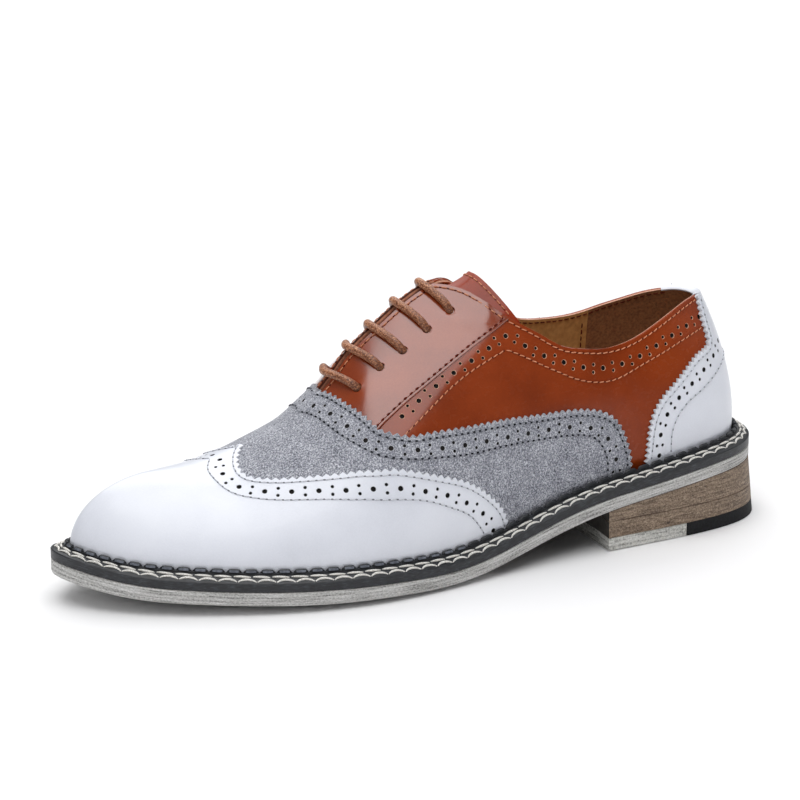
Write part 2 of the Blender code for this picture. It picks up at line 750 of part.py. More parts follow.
def make_lace():
    """Five bars of round lace over the facings, from eyelet to eyelet square to the ridge."""
    cord = paint("lace_cord", (0.30, 0.13, 0.05), 0.6)
    proud = PANEL_GAP + FACING_THICKNESS + GAP + LACE_DIAMETER / 2
    for number, (x, rise) in enumerate(EYELETS, 1):
        across = np.linspace(-1, 1, 10)
        h = 1 - (1 - rise) * np.abs(across)
        s = station_at(x + LACE_FORWARD * (1 - np.abs(across))) * np.where(across < 0, 1, -1)
        path = (shell(s, h, proud) - MIDDLE) * MM
        curve = bpy.data.curves.new(f"lace_bar_{number}", "CURVE")
        curve.dimensions = "3D"
        curve.bevel_depth = LACE_DIAMETER / 2 * MM
        curve.bevel_resolution = 1
        curve.use_fill_caps = True
        curve.materials.append(cord)
        line = curve.splines.new("POLY")
        line.points.add(len(path) - 1)
        for point, place in zip(line.points, path):
            point.co = (*place, 1.0)
        bar = bpy.data.objects.new(f"lace_bar_{number}", curve)
        bpy.context.scene.collection.objects.link(bar)
        bar.parent = SHOE


for old in list(bpy.data.objects):
    bpy.data.objects.remove(old)
SHOE = bpy.data.objects.new("brogue_oxford", None)
bpy.context.scene.collection.objects.link(SHOE)
SOLE_AROUND = np.linspace(-1, 1, SOLE_STATIONS, endpoint=False)
UPPER_AROUND = np.linspace(-1, 1, STATIONS, endpoint=False)
make_outsole(SOLE_AROUND)
make_welt(SOLE_AROUND)
make_insole(SOLE_AROUND)
make_heel()
make_upper(UPPER_AROUND)
make_panels(UPPER_AROUND)
make_tongue()
make_lace()
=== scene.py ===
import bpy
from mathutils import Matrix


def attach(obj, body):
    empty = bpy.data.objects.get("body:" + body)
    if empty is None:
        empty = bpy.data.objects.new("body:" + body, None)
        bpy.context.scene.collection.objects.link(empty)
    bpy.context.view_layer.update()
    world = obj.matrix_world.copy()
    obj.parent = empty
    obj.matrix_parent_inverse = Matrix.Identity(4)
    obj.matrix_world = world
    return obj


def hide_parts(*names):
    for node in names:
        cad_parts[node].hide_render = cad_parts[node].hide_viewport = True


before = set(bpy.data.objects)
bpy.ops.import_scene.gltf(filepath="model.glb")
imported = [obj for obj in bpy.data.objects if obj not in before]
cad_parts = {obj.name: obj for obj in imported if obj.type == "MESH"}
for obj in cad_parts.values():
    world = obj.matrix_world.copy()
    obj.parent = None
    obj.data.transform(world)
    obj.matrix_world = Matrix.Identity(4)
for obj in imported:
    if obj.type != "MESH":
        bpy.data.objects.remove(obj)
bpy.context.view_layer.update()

from types import SimpleNamespace

import bpy
import numpy as np
from mathutils import Matrix, Vector
from mathutils.geometry import delaunay_2d_cdt
from mathutils.kdtree import KDTree

# Studio: a white floor that runs out of the frame, a bright softbox over the shoe, which its facing
# mirrors, a wide one over the floor behind and two weak fills, with a long lens at the photograph's angle.
# Places are in millimetres from the heel's back, and the origin lies under the middle of the shoe.
MM = 0.001
MIDDLE = np.array((150.0, 2.134, 0.0))
FRAME_PIXELS = 800
LENS_PIXELS = 2891.75
LENS_CENTRE = (420.32, 475.22)
CAMERA_AIM = np.array((150.0, 0.0, 30.0))
CAMERA_DISTANCE = 1128.05
CAMERA_TURN, CAMERA_LIFT = np.radians(26.98), np.radians(16.88)
ROOM_COLOUR, ROOM_STRENGTH = (0.97, 0.98, 1.0, 1.0), 0.11
PAPER_COLOUR, PAPER_ROUGHNESS = (0.97, 0.97, 0.98, 1.0), 0.9


def room(place):
    return (np.asarray(place, float) - MIDDLE) * MM


lens = bpy.data.cameras.new("long_lens")
lens.sensor_width = 36.0
lens.lens = LENS_PIXELS * lens.sensor_width / FRAME_PIXELS
lens.shift_x = 0.5 - LENS_CENTRE[0] / FRAME_PIXELS
lens.shift_y = LENS_CENTRE[1] / FRAME_PIXELS - 0.5
lens.clip_end = 40.0
camera = bpy.data.objects.new("photo_camera", lens)
bpy.context.scene.collection.objects.link(camera)
level = np.cos(CAMERA_LIFT)
back = np.array((np.sin(CAMERA_TURN) * level, np.cos(CAMERA_TURN) * level, np.sin(CAMERA_LIFT)))
right = np.array((-np.cos(CAMERA_TURN), np.sin(CAMERA_TURN), 0.0))
axes = np.column_stack([right, np.cross(back, right), back, room(CAMERA_AIM + back * CAMERA_DISTANCE)])
camera.matrix_world = Matrix([*axes.tolist(), [0, 0, 0, 1]])
bpy.context.scene.camera = camera


def softbox(name, place, aim, size, watts):
    lamp = bpy.data.lights.new(name, "AREA")
    lamp.shape = "RECTANGLE"
    lamp.size, lamp.size_y = size
    lamp.energy = watts
    box = bpy.data.objects.new(name, lamp)
    bpy.context.scene.collection.objects.link(box)
    box.location = room(place)
    box.rotation_euler = Vector(room(place) - room(aim)).to_track_quat("Z", "Y").to_euler()


softbox("overhead_softbox", (325, 345, 1075), (325, 345, 0), (1.22, 1.19), 11.8)
softbox("backdrop_softbox", (-750, -1700, 1500), (-750, -1700, 0), (3.0, 2.4), 48.0)
softbox("toe_fill", (1400, 1100, 900), (220, 20, 20), (1.2, 1.0), 3.2)
softbox("heel_fill", (-1200, 500, 600), (40, 0, 50), (0.8, 0.8), 1.2)

sky = bpy.data.worlds.new("pale_room")
sky.use_nodes = True
sky.node_tree.nodes["Background"].inputs["Color"].default_value = ROOM_COLOUR
sky.node_tree.nodes["Background"].inputs["Strength"].default_value = ROOM_STRENGTH
bpy.context.scene.world = sky
bpy.context.scene.view_settings.view_transform = "Standard"

bpy.ops.object.select_all(action="DESELECT")
bpy.ops.mesh.primitive_plane_add(size=16, location=(0, 0, -0.0002))
floor = bpy.context.object
floor.name = "pale_floor"
paper = bpy.data.materials.new("white_paper")
paper.use_nodes = True
paper.node_tree.nodes["Principled BSDF"].inputs["Base Color"].default_value = PAPER_COLOUR
paper.node_tree.nodes["Principled BSDF"].inputs["Roughness"].default_value = PAPER_ROUGHNESS
floor.data.materials.append(paper)


# Outsole: one sheet of pale grey leather with a rounded lower edge, sewn to the welt all round. Its cut
# edge is flecked, with fine lines along it. The waist's underside is painted dark, a painted shade under
# the arch; the forepart's is pale.
# A station s follows the sole's edge: 0 at the heel's back, 1 at the toe, positive on the outer side.
LENGTH = 300.0
SMALL = 1e-4
OUTSOLE_BEVEL, OUTSOLE_ROUND = 0.9, 0.3
TREAD_INSET = 11.0
WAIST_FRONT = 140.0
HEEL_PULL, HEEL_PULL_END, HEEL_SEAT = 2.8, 60.0, 24.0
HEEL_BACK_Y, TOE_TIP_Y = -2.0, -5.5
AROUND = np.linspace(-1, 1, 300, endpoint=False)
# x, outer y and inner y of the sole's edge
SOLE_PLAN = np.array((
    (12, 23.0, -25.0), (36, 32.4, -32.5), (62, 35.6, -33.0), (88, 37.6, -30.0), (115, 40.4, -28.5),
    (143, 46.0, -33.0), (170, 51.2, -41.0), (195, 52.8, -47.0), (218, 49.8, -48.5), (242, 42.3, -45.0),
    (262, 33.2, -38.0), (280, 22.0, -28.5), (292, 10.8, -19.5),
))


def spline(xs, ys):
    """A natural cubic spline through the points, as a function."""
    xs, ys = np.asarray(xs, float), np.asarray(ys, float)
    step = np.diff(xs)
    rise = np.diff(ys) / step
    system = np.diag([1, *2 * (step[:-1] + step[1:]), 1])
    system += np.diag([*step[:-1], 0], -1) + np.diag([0, *step[1:]], 1)
    bend = np.linalg.solve(system, [0, *6 * np.diff(rise), 0])

    def value(x):
        x = np.asarray(x, float)
        i = np.clip(np.searchsorted(xs, x) - 1, 0, len(xs) - 2)
        t = x - xs[i]
        slope = rise[i] - step[i] * (2 * bend[i] + bend[i + 1]) / 6
        return ys[i] + t * (slope + t * (bend[i] / 2 + t * (bend[i + 1] - bend[i]) / (6 * step[i])))

    return value


def columns(names, rows):
    """A table as smooth functions of its first column, one for each named column after it."""
    data = np.array(rows, float).T
    functions = {name: spline(data[0], values) for name, values in zip(names.split()[1:], data[1:])}
    return SimpleNamespace(**functions)


# Height of the outsole's lower edge, its thickness, and how far the tread bulges below that edge
SOLE_SIDE = columns("x edge thickness bulge", (
    (0, 24.0, 5.4, 0.0), (40, 21.6, 5.1, 0.0), (62, 19.2, 5.0, 0.0), (77, 17.4, 5.1, 0.0),
    (91, 15.2, 5.3, 0.0), (110, 10.9, 5.4, 0.8), (129, 6.2, 5.2, 2.2), (145, 2.9, 5.2, 2.6),
    (160, 1.5, 5.2, 2.6), (185, 1.8, 5.4, 2.6), (210, 2.35, 5.5, 2.6), (231, 3.1, 5.4, 2.4),
    (258, 4.5, 5.4, 2.0), (280, 6.3, 5.6, 1.6), (300, 10.6, 5.9, 1.2),
))


def x_of(s):
    return LENGTH * (1 - np.cos(np.pi * np.asarray(s, float))) / 2


def station_at(x):
    return np.arccos(np.clip(1 - 2 * np.asarray(x, float) / LENGTH, -1, 1)) / np.pi


def unit(way):
    return way / np.linalg.norm(way, axis=-1, keepdims=True)


plan_s, plan_outer, plan_inner = station_at(SOLE_PLAN[:, 0]), SOLE_PLAN[:, 1], SOLE_PLAN[:, 2]
heel_to_heel = [*plan_outer, TOE_TIP_Y, *plan_inner[::-1]]
edge_y = spline(
    np.concatenate([plan_s - 2, [-1], -plan_s[::-1], [0], plan_s, [1], 2 - plan_s[::-1]]),
    [*heel_to_heel, HEEL_BACK_Y, *heel_to_heel],
)


def sole_edge(s, inset=0.0):
    """Plan points of the sole's edge, moved in by inset."""
    ahead, behind = s + SMALL, s - SMALL
    along = unit(np.stack([x_of(ahead) - x_of(behind), edge_y(ahead) - edge_y(behind)], -1))
    inward = np.stack([along[..., 1], -along[..., 0]], -1)
    return np.stack([x_of(s), edge_y(s)], -1) + inward * np.asarray(inset)[..., None]


def lower_edge(x):
    return SOLE_SIDE.edge(np.clip(x, 0, LENGTH))


def tread(x):
    return np.maximum(lower_edge(x) - np.maximum(SOLE_SIDE.bulge(np.clip(x, 0, LENGTH)), 0), 0)


def outsole_top(x):
    return lower_edge(x) + SOLE_SIDE.thickness(np.clip(x, 0, LENGTH))


def heel_pull(x):
    """How far the seat of the sole is drawn in from its plan towards the heel's back."""
    return HEEL_PULL * np.clip(1 - x / HEEL_PULL_END, 0, 1) ** 2


def sole_ring(inset, height):
    """A ring in from the sole's edge, at a height that depends on x alone."""
    plan = sole_edge(AROUND, inset)
    return np.column_stack([plan, height(plan[:, 0])])


def lengths(points):
    """Length along a line from its start to each of its points."""
    return np.concatenate([[0], np.cumsum(np.linalg.norm(np.diff(points, axis=0), axis=1))])


def sole_run():
    """Length along the sole's edge at each station, closed by one more at the end."""
    ring = sole_edge(AROUND)
    return lengths(np.vstack([ring, ring[:1]]))


def join_rings(rings, hollow=False):
    """Points, faces and corner UVs of rings joined in turn: capped across, or closed on themselves."""
    count, size = len(rings), len(rings[0])
    run = sole_run() * MM
    across = [0.0]
    for ring, after in zip(rings, rings[1:] + rings[:1]):
        across.append(across[-1] + np.linalg.norm(after - ring, axis=1).mean() * MM)
    faces, uvs = [], []
    for ring in range(count if hollow else count - 1):
        after = (ring + 1) % count
        for i in range(size):
            j = (i + 1) % size
            faces.append((ring * size + i, ring * size + j, after * size + j, after * size + i))
            low, high = across[ring], across[ring + 1]
            uvs += [(run[i], low), (run[i + 1], low), (run[i + 1], high), (run[i], high)]
    points = np.concatenate(rings)
    for start in () if hollow else (0, (count - 1) * size):
        for i in range(size // 2):
            rung = [start + k for k in dict.fromkeys((i, i + 1, size - i - 1, (size - i) % size))]
            faces.append(rung)
            uvs += [(points[k][0] * MM, points[k][1] * MM) for k in rung]
    return points, faces, uvs


class Shade:
    """A value in a finish. Python's operators add its Math nodes."""

    def __init__(self, finish, socket):
        self.finish, self.socket = finish, socket

    def math(self, operation, *values):
        return self.finish.node("ShaderNodeMath", {"operation": operation}, dict(enumerate(values)))

    def __add__(self, other):
        return self.math("ADD", self, other)

    def __sub__(self, other):
        return self.math("SUBTRACT", self, other)

    def __rsub__(self, other):
        return self.math("SUBTRACT", other, self)

    def __mul__(self, other):
        return self.math("MULTIPLY", self, other)

    __radd__, __rmul__ = __add__, __mul__


def ink(red, green, blue):
    """A colour as a screen shows it, from 0 to 255, in the shader's linear light."""
    shown = np.array((red, green, blue)) / 255
    return tuple(np.where(shown <= 0.04045, shown / 12.92, ((shown + 0.055) / 1.055) ** 2.4))


class Finish:
    """A material whose shader takes constants by socket name, and whose nodes come from node()."""

    def __init__(self, name, **constants):
        self.material = bpy.data.materials.new(name)
        self.material.use_nodes = True
        self.tree = self.material.node_tree
        self.shader = self.tree.nodes["Principled BSDF"]
        for words, value in constants.items():
            self.shader.inputs[words.replace("_", " ")].default_value = value

    def node(self, kind, settings=None, inputs=None, output=0):
        made = self.tree.nodes.new(kind)
        for word, value in (settings or {}).items():
            if word == "stops":
                stops = made.color_ramp.elements
                while len(stops) < len(value):
                    stops.new(0.5)
                for stop, (place, colour) in zip(stops, value):
                    stop.position, stop.color = place, (*ink(*colour), 1.0)
            else:
                setattr(made, word, value)
        for word, value in (inputs or {}).items():
            if isinstance(value, Shade):
                self.tree.links.new(value.socket, made.inputs[word])
            else:
                made.inputs[word].default_value = value
        return Shade(self, made.outputs[output])

    def place(self, scale=(1, 1, 1), source="Object"):
        where = self.node("ShaderNodeTexCoord", output=source)
        return self.node("ShaderNodeMapping", None, {"Vector": where, "Scale": scale})

    def noise(self, place, scale, detail=2.0, roughness=0.5):
        sockets = {"Vector": place, "Scale": scale, "Detail": detail, "Roughness": roughness}
        return self.node("ShaderNodeTexNoise", None, sockets)

    def colour(self, value, *stops):
        ramp = self.node("ShaderNodeValToRGB", {"stops": stops}, {"Fac": value})
        self.feed("Base Color", ramp)

    def feed(self, socket, value):
        self.tree.links.new(value.socket, self.shader.inputs[socket])

    def bump(self, height, strength, distance):
        sockets = {"Height": height, "Strength": strength, "Distance": distance}
        self.feed("Normal", self.node("ShaderNodeBump", None, sockets))


def grained(name, scale, detail, roughness, dark, light, bump=0.3, deep=0.0003, stops=(0.3, 0.7), shine=0.5):
    """A finish clouded between two colours by fine noise, which also roughens it."""
    finish = Finish(name, Roughness=roughness, Specular_IOR_Level=shine)
    flecks = finish.noise(finish.place(), scale, detail)
    finish.colour(flecks, (stops[0], dark), (stops[1], light))
    if bump:
        finish.bump(flecks, bump, deep)
    return finish


def fibred(name, roughness, first, second, share, bump, deep, *stops):
    """Cut leather: two noises mixed by the first one's share, of which the first also roughens it.

    A noise has its stretch, the map that it lies on, its scale, its detail and its roughness.
    """
    finish = Finish(name, Roughness=roughness)
    noises = [finish.noise(finish.place(stretch, on), *fine) for stretch, on, *fine in (first, second)]
    finish.colour(noises[0] * share + noises[1] * (1 - share), *stops)
    finish.bump(noises[0], bump, deep)
    return finish


def add_piece(name, points, faces, finishes, nodes, uvs=None, marks=None, angle=35.0):
    """One piece of the shoe, merged and turned out, that rides with it and stands for its nodes."""
    mesh = bpy.data.meshes.new(name)
    mesh.from_pydata(room(points).tolist(), [], [[int(i) for i in face] for face in faces])
    if uvs is not None:
        mesh.uv_layers.new(name="along").data.foreach_set("uv", np.array(uvs, np.float32).ravel())
    for finish in finishes:
        mesh.materials.append(finish.material)
    if marks is not None:
        mesh.polygons.foreach_set("material_index", np.array(marks, np.int32))
    piece = bpy.data.objects.new(name, mesh)
    bpy.context.scene.collection.objects.link(piece)
    bpy.ops.object.select_all(action="DESELECT")
    piece.select_set(True)
    bpy.context.view_layer.objects.active = piece
    bpy.ops.object.mode_set(mode="EDIT")
    bpy.ops.mesh.select_all(action="SELECT")
    bpy.ops.mesh.remove_doubles(threshold=1e-6)
    bpy.ops.mesh.normals_make_consistent(inside=False)
    bpy.ops.object.mode_set(mode="OBJECT")
    bpy.ops.object.shade_smooth_by_angle(angle=np.radians(angle))
    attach(piece, "root")
    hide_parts(*nodes)
    return piece


sole_edge_leather = fibred(
    "sole_edge_leather", 0.7,
    ((1, 1.6, 1), "UV", 1100, 3.0, 0.7), ((0.04, 1, 1), "UV", 1300, 2.0, 0.6), 0.5, 0.35, 0.0004,
    (0.38, (112, 111, 109)), (0.47, (176, 175, 172)), (0.55, (202, 201, 199)), (0.66, (228, 227, 225)),
)
# Painted shade: this dark leather goes under the waist and on the heel's breast, for the shade under the arch
painted_shade_leather = grained("painted_shade_leather", 600, 4.0, 0.75, (46, 42, 38), (70, 65, 59), deep=0.0004)
seat_pull = heel_pull(x_of(AROUND))
outsole_rings = [
    sole_ring(seat_pull + TREAD_INSET, tread),
    sole_ring(seat_pull + OUTSOLE_BEVEL, lower_edge),
    sole_ring(seat_pull + OUTSOLE_BEVEL * 0.3, lambda x: lower_edge(x) + OUTSOLE_BEVEL * 0.3),
    sole_ring(seat_pull, lambda x: lower_edge(x) + OUTSOLE_BEVEL),
    sole_ring(seat_pull, lambda x: outsole_top(x) - OUTSOLE_ROUND),
    sole_ring(seat_pull + OUTSOLE_ROUND, outsole_top),
]
points, faces, uvs = join_rings(outsole_rings)
centres = np.array([points[list(face)].mean(0) for face in faces])
# Painted shade: the underside's faces behind the waist's front take the dark finish
marks = (centres[:, 0] < WAIST_FRONT) & (centres[:, 2] < lower_edge(centres[:, 0]) + 0.1)
sole_finishes = [sole_edge_leather, painted_shade_leather]
add_piece("outsole_sheet", points, faces, sole_finishes, ["outsole"], uvs, marks)


# Welt: a charcoal strip of leather sewn round the sole, which slopes up to a rib against the upper.
# The rib is worked into a row of long beads, and two rows of thick white thread run in front of it.
WELT_GAP, WELT_SLOPE, WELT_INSIDE = 0.3, 2.0, 2.6
WELT_SIDE = WELT_GAP + 3.4
RIB_HEIGHT, RIB_WIDTH, RIB_SIDE, RIB_TO_UPPER = 1.8, 1.7, 0.45, 2.4
RIB_UNDER_BEADS, BEAD_SUNK, HIGHLIT_BEADS_FROM = 1.2, 1.0, 150
BEAD_PITCH, BEAD_LENGTH, BEAD_WIDTH, BEAD_HEIGHT, BEAD_SIDES = 6.3, 5.6, 0.95, 1.15, 8
THREAD_PITCH, THREAD_LENGTH, THREAD_THICK = 7.2, 6.3, 0.95
DASH_FROM_RIB, DASH_SLANT, DASH_PROUD = 1.35, 0.3, 0.2
ARC_FROM_RIB, ARC_BOW, ARC_PROUD, ARC_LAG, ARC_SPARE = 3.6, 1.15, 0.12, 0.28, 0.5
UPPER_INSET = spline(
    (0, 45, 85, 115, 132, 144, 156, 167, 175, 181, 188, 193.5, 197, 201, 207, 215, 235, 258, 300),
    (11.5, 9.0, 8.5, 8.3, *[8.2] * 13, 8.4, 9.2),
)


def welt_top(x):
    return outsole_top(x) + WELT_SIDE


welt_inset = UPPER_INSET(x_of(AROUND))
rib_inset = welt_inset - RIB_TO_UPPER
rib_foot = rib_inset - RIB_WIDTH
rib_top = WELT_SIDE + WELT_SLOPE + RIB_HEIGHT - RIB_UNDER_BEADS
# Distance in from the sole's edge, and height over the outsole
welt_profile = (
    (seat_pull, WELT_GAP),
    (seat_pull, WELT_SIDE - 0.3),
    (seat_pull + 0.3, WELT_SIDE + 0.1),
    (rib_foot, WELT_SIDE + WELT_SLOPE - 0.2),
    (rib_foot + 0.15, WELT_SIDE + WELT_SLOPE + 0.5),
    (rib_foot + RIB_SIDE, rib_top),
    (rib_inset - RIB_SIDE, rib_top),
    (rib_inset, WELT_SIDE + 0.4),
    (rib_inset + 0.3, WELT_SIDE),
    (welt_inset + WELT_INSIDE, WELT_SIDE),
    (welt_inset + WELT_INSIDE, WELT_GAP),
)
charcoal = fibred(
    "charcoal_welt", 0.45,
    ((1, 7, 1), "UV", 330, 3.0, 0.6), ((1, 1, 1), "Object", 260, 3.0), 0.7, 0.3, 0.0003,
    (0.34, (18, 19, 22)), (0.52, (35, 37, 41)), (0.7, (68, 71, 78)),
)
welt_rings = [sole_ring(inset, lambda x, up=height: outsole_top(x) + up) for inset, height in welt_profile]
points, faces, uvs = join_rings(welt_rings, hollow=True)
add_piece("welt_strip", points, faces, [charcoal], ["welt"], uvs)


def welt_place(run, from_rib, up):
    """Points on the welt at a run along the sole's edge, out from the rib's foot, lifted by up."""
    whole = sole_run()
    s = np.interp(run % whole[-1], whole, np.append(AROUND, 1.0))
    foot = UPPER_INSET(x_of(s)) - RIB_TO_UPPER - RIB_WIDTH
    edge = heel_pull(x_of(s))
    inset = np.maximum(foot - from_rib, edge + 0.15)
    plan = sole_edge(s, inset)
    slope = WELT_SLOPE * np.clip((inset - edge) / (foot - edge), 0, 1.0)
    return np.concatenate([plan, (welt_top(plan[..., 0]) + slope + up)[..., None]], -1)


def tubes(paths, ups, radii, sides=6):
    """Points and faces of many short tubes along paths (tube, ring, place), flat-ended and closed."""
    run = unit(np.gradient(paths, axis=1))
    side = unit(np.cross(run, ups))
    up = np.cross(side, run)
    turn = (np.arange(sides) / sides * 2 * np.pi)[:, None]
    wide, tall = (np.broadcast_to(r, paths.shape[:2])[..., None, None] for r in radii)
    offset = np.cos(turn) * side[..., None, :] * wide + np.sin(turn) * up[..., None, :] * tall
    points = (paths[..., None, :] + offset).reshape(-1, 3)
    number = np.arange(len(points)).reshape(*paths.shape[:2], sides)
    ahead = np.roll(number, -1, axis=2)
    quads = np.stack([number[:, :-1], ahead[:, :-1], ahead[:, 1:], number[:, 1:]], -1).reshape(-1, 4)
    caps = np.concatenate([number[:, 0, ::-1], number[:, -1]])
    return points, quads.tolist() + caps.tolist()


def spaced(pitch):
    """Starts of an even row right round the sole, at about this pitch."""
    whole = sole_run()[-1]
    count = round(whole / pitch)
    return np.arange(count)[:, None] * whole / count


UPWARD = np.array((0.0, 0.0, 1.0))
bead_share = np.linspace(0, 1, 7)
bead_shape = np.sqrt(np.clip(1 - (2 * bead_share - 1) ** 4, 0.02, 1))
bead_path = welt_place(spaced(BEAD_PITCH) + bead_share * BEAD_LENGTH, -RIB_WIDTH / 2, RIB_HEIGHT - BEAD_SUNK)
points, faces = tubes(bead_path, UPWARD, (BEAD_WIDTH * bead_shape, BEAD_HEIGHT * bead_shape), BEAD_SIDES)
bead_finishes = [
    grained("bead_rim", 900, 2.0, 0.45, (20, 22, 27), (34, 37, 43), 0.15, stops=(0.35, 0.65)),
    grained("bead_highlight", 900, 2.0, 0.45, (84, 88, 98), (116, 121, 132), 0.15, stops=(0.35, 0.65)),
]
# Painted highlight: along the forepart one upper side of each bead is painted paler than the rest
bead_count = len(bead_path)
marks = np.zeros((bead_count, len(bead_share) - 1, BEAD_SIDES), int)
marks[:, 1:-1, 3] = bead_path[:, :1, 0] > HIGHLIT_BEADS_FROM
marks = [*marks.ravel(), *[0] * (2 * bead_count)]
add_piece("welt_beads", points, faces, bead_finishes, ["welt"], marks=marks)

white_thread = grained("white_thread", 2200, 2.0, 0.6, (196, 192, 184), (243, 241, 236), stops=(0.3, 0.6))
thread_share = np.linspace(0, 1, 9)
thread_start = spaced(THREAD_PITCH)
thread_ends = np.sin(np.pi * np.clip(thread_share, 0.03, 0.97)) ** 0.35
dash_run = thread_start + thread_share * THREAD_LENGTH
dash_path = welt_place(dash_run, DASH_FROM_RIB - DASH_SLANT * thread_share, DASH_PROUD * thread_ends)
arc_run = thread_start - THREAD_PITCH * ARC_LAG + thread_share * (THREAD_LENGTH + ARC_SPARE)
arc_bow = ARC_BOW * np.sin(np.pi * thread_share) ** 0.7
arc_path = welt_place(arc_run, ARC_FROM_RIB - arc_bow, ARC_PROUD * thread_ends)
thread_radius = THREAD_THICK / 2 * thread_ends
points, faces = tubes(np.concatenate([dash_path, arc_path]), UPWARD, (thread_radius, thread_radius))
add_piece("welt_stitches", points, faces, [white_thread], ["welt"])


# Insole and sock: a leather board inside the welt, covered by a tan sock that is seen through the collar.
# Both are one sheet here, laid on the outsole and rounded along its upper edge.
SOCK_GAP, SOCK_RISE, SOCK_ROUND = 2.9, 0.6, 0.4
sock_leather = grained("sock_leather", 700, 4.0, 0.6, (150, 108, 62), (186, 140, 88), 0.2)
sock_inset = welt_inset + SOCK_GAP
sock_rings = [
    sole_ring(sock_inset, lambda x: outsole_top(x) + WELT_GAP),
    sole_ring(sock_inset, lambda x: welt_top(x) + SOCK_RISE - SOCK_ROUND),
    sole_ring(sock_inset + SOCK_ROUND, lambda x: welt_top(x) + SOCK_RISE),
]
points, faces, uvs = join_rings(sock_rings)
add_piece("sock", points, faces, [sock_leather], ["insole"], uvs)


# Heel: stacked leather lifts cemented and nailed under the seat, trimmed flush and stained brown, on a
# toplift that is pale leather in front and black rubber behind, where it wears.
HEEL_BREAST, HEEL_HOLLOW, HEEL_INSET = 86.0, 2.5, 0.4
TOPLIFT_HEIGHT, LOWER_LIFT_TOP, RUBBER_FRONT = 5.2, 12.0, 48.0
LIFT_GAP, SEAT_GAP = 0.15, 0.05
HEEL_ROWS, HEEL_COLUMNS = 34, 25


def heel_grid(rear, front, level):
    """A grid over the heel at a level, or close under the seat, drawn in at the back as the seat is."""
    stations = np.linspace(station_at(rear), station_at(front), HEEL_ROWS)
    pull = heel_pull(x_of(stations))
    inset = pull * level / HEEL_SEAT + HEEL_INSET * (1 - pull / HEEL_PULL)
    outer, inner = sole_edge(stations, inset), sole_edge(-stations, inset)
    share = np.linspace(0, 1, HEEL_COLUMNS)[None, :, None]
    plan = inner[:, None] * (1 - share) + outer[:, None] * share
    if front == HEEL_BREAST:
        ahead = np.linspace(0, 1, HEEL_ROWS)[:, None] ** 4
        plan[..., 0] -= HEEL_HOLLOW * ahead * (1 - (2 * share[..., 0] - 1) ** 2)
    x = plan[..., :1]
    height = lower_edge(x) - SEAT_GAP if level == HEEL_SEAT else 0 * x + level
    return np.concatenate([plan, height], -1)


def slab(low, high):
    """Points and faces of a solid between two grids with the same rows and columns."""
    rows, across = low.shape[:2]
    number = np.arange(2 * rows * across).reshape(2, rows, across)
    faces = []
    for layer in number:
        corners = layer[:-1, :-1], layer[1:, :-1], layer[1:, 1:], layer[:-1, 1:]
        faces += np.stack(corners, -1).reshape(-1, 4).tolist()
    rim = [(i, 0) for i in range(rows)]
    rim += [(rows - 1, j) for j in range(1, across)]
    rim += [(i, across - 1) for i in range(rows - 2, -1, -1)]
    rim += [(0, j) for j in range(across - 2, 0, -1)]
    for here, there in zip(rim, rim[1:] + rim[:1]):
        faces.append((number[0][here], number[0][there], number[1][there], number[1][here]))
    return np.concatenate([low.reshape(-1, 3), high.reshape(-1, 3)]), faces


def soften(piece, width):
    """Rounds the sharp edges of the piece that was just added by this width."""
    bevel = piece.modifiers.new("rounded", "BEVEL")
    bevel.width, bevel.segments, bevel.limit_method = width * MM, 2, "ANGLE"
    bevel.angle_limit = np.radians(40)
    bpy.ops.object.modifier_apply(modifier=bevel.name)
    bpy.ops.object.shade_smooth_by_angle(angle=np.radians(35))


stack_leather = fibred(
    "stack_leather", 0.62,
    ((1, 1, 1.4), "Object", 1300, 3.0, 0.7), ((0.12, 0.12, 1), "Object", 1100, 2.0, 0.6), 0.65, 0.35, 0.0003,
    (0.37, (66, 53, 43)), (0.46, (116, 97, 80)), (0.55, (144, 124, 104)), (0.66, (182, 163, 142)),
)
toplift_leather = fibred(
    "toplift_leather", 0.7,
    ((1, 1, 1), "Object", 1200, 3.0, 0.7), ((0.06, 0.06, 1), "Object", 1300, 2.0, 0.6), 0.55, 0.3, 0.0003,
    (0.37, (128, 127, 123)), (0.5, (196, 195, 190)), (0.64, (228, 227, 223)),
)
heel_rubber = grained("heel_rubber", 1200, 3.0, 0.7, (14, 14, 16), (30, 31, 34), shine=0.25)
stack = stack_leather, "heel_stack"
lower_lift = TOPLIFT_HEIGHT + LIFT_GAP, LOWER_LIFT_TOP - 0.1
heel_layers = (
    ("lift_upper", "heel_lift_upper", 0, HEEL_BREAST, LOWER_LIFT_TOP + LIFT_GAP, HEEL_SEAT, *stack),
    ("lift_lower", "heel_lift_lower", 0, HEEL_BREAST, *lower_lift, *stack),
    ("toplift_front", "toplift_leather", RUBBER_FRONT + LIFT_GAP, HEEL_BREAST, 0, TOPLIFT_HEIGHT,
     toplift_leather, "toplift"),
    ("toplift_back", "toplift_rubber", 0, RUBBER_FRONT, 0, TOPLIFT_HEIGHT, heel_rubber, "rubber"),
)
for name, node, rear, front, low, high, finish, slot in heel_layers:
    points, faces = slab(heel_grid(rear, front, low), heel_grid(rear, front, high))
    # The breast of the stack is painted dark, the same painted shade as under the waist
    breast = len(faces) - 2 * (HEEL_ROWS + HEEL_COLUMNS - 2) + HEEL_ROWS - 1
    marks = np.zeros(len(faces), int)
    marks[breast : breast + HEEL_COLUMNS - 1] = slot == "heel_stack"
    soften(add_piece(name, points, faces, [finish, painted_shade_leather], [node], marks=marks), 0.25)


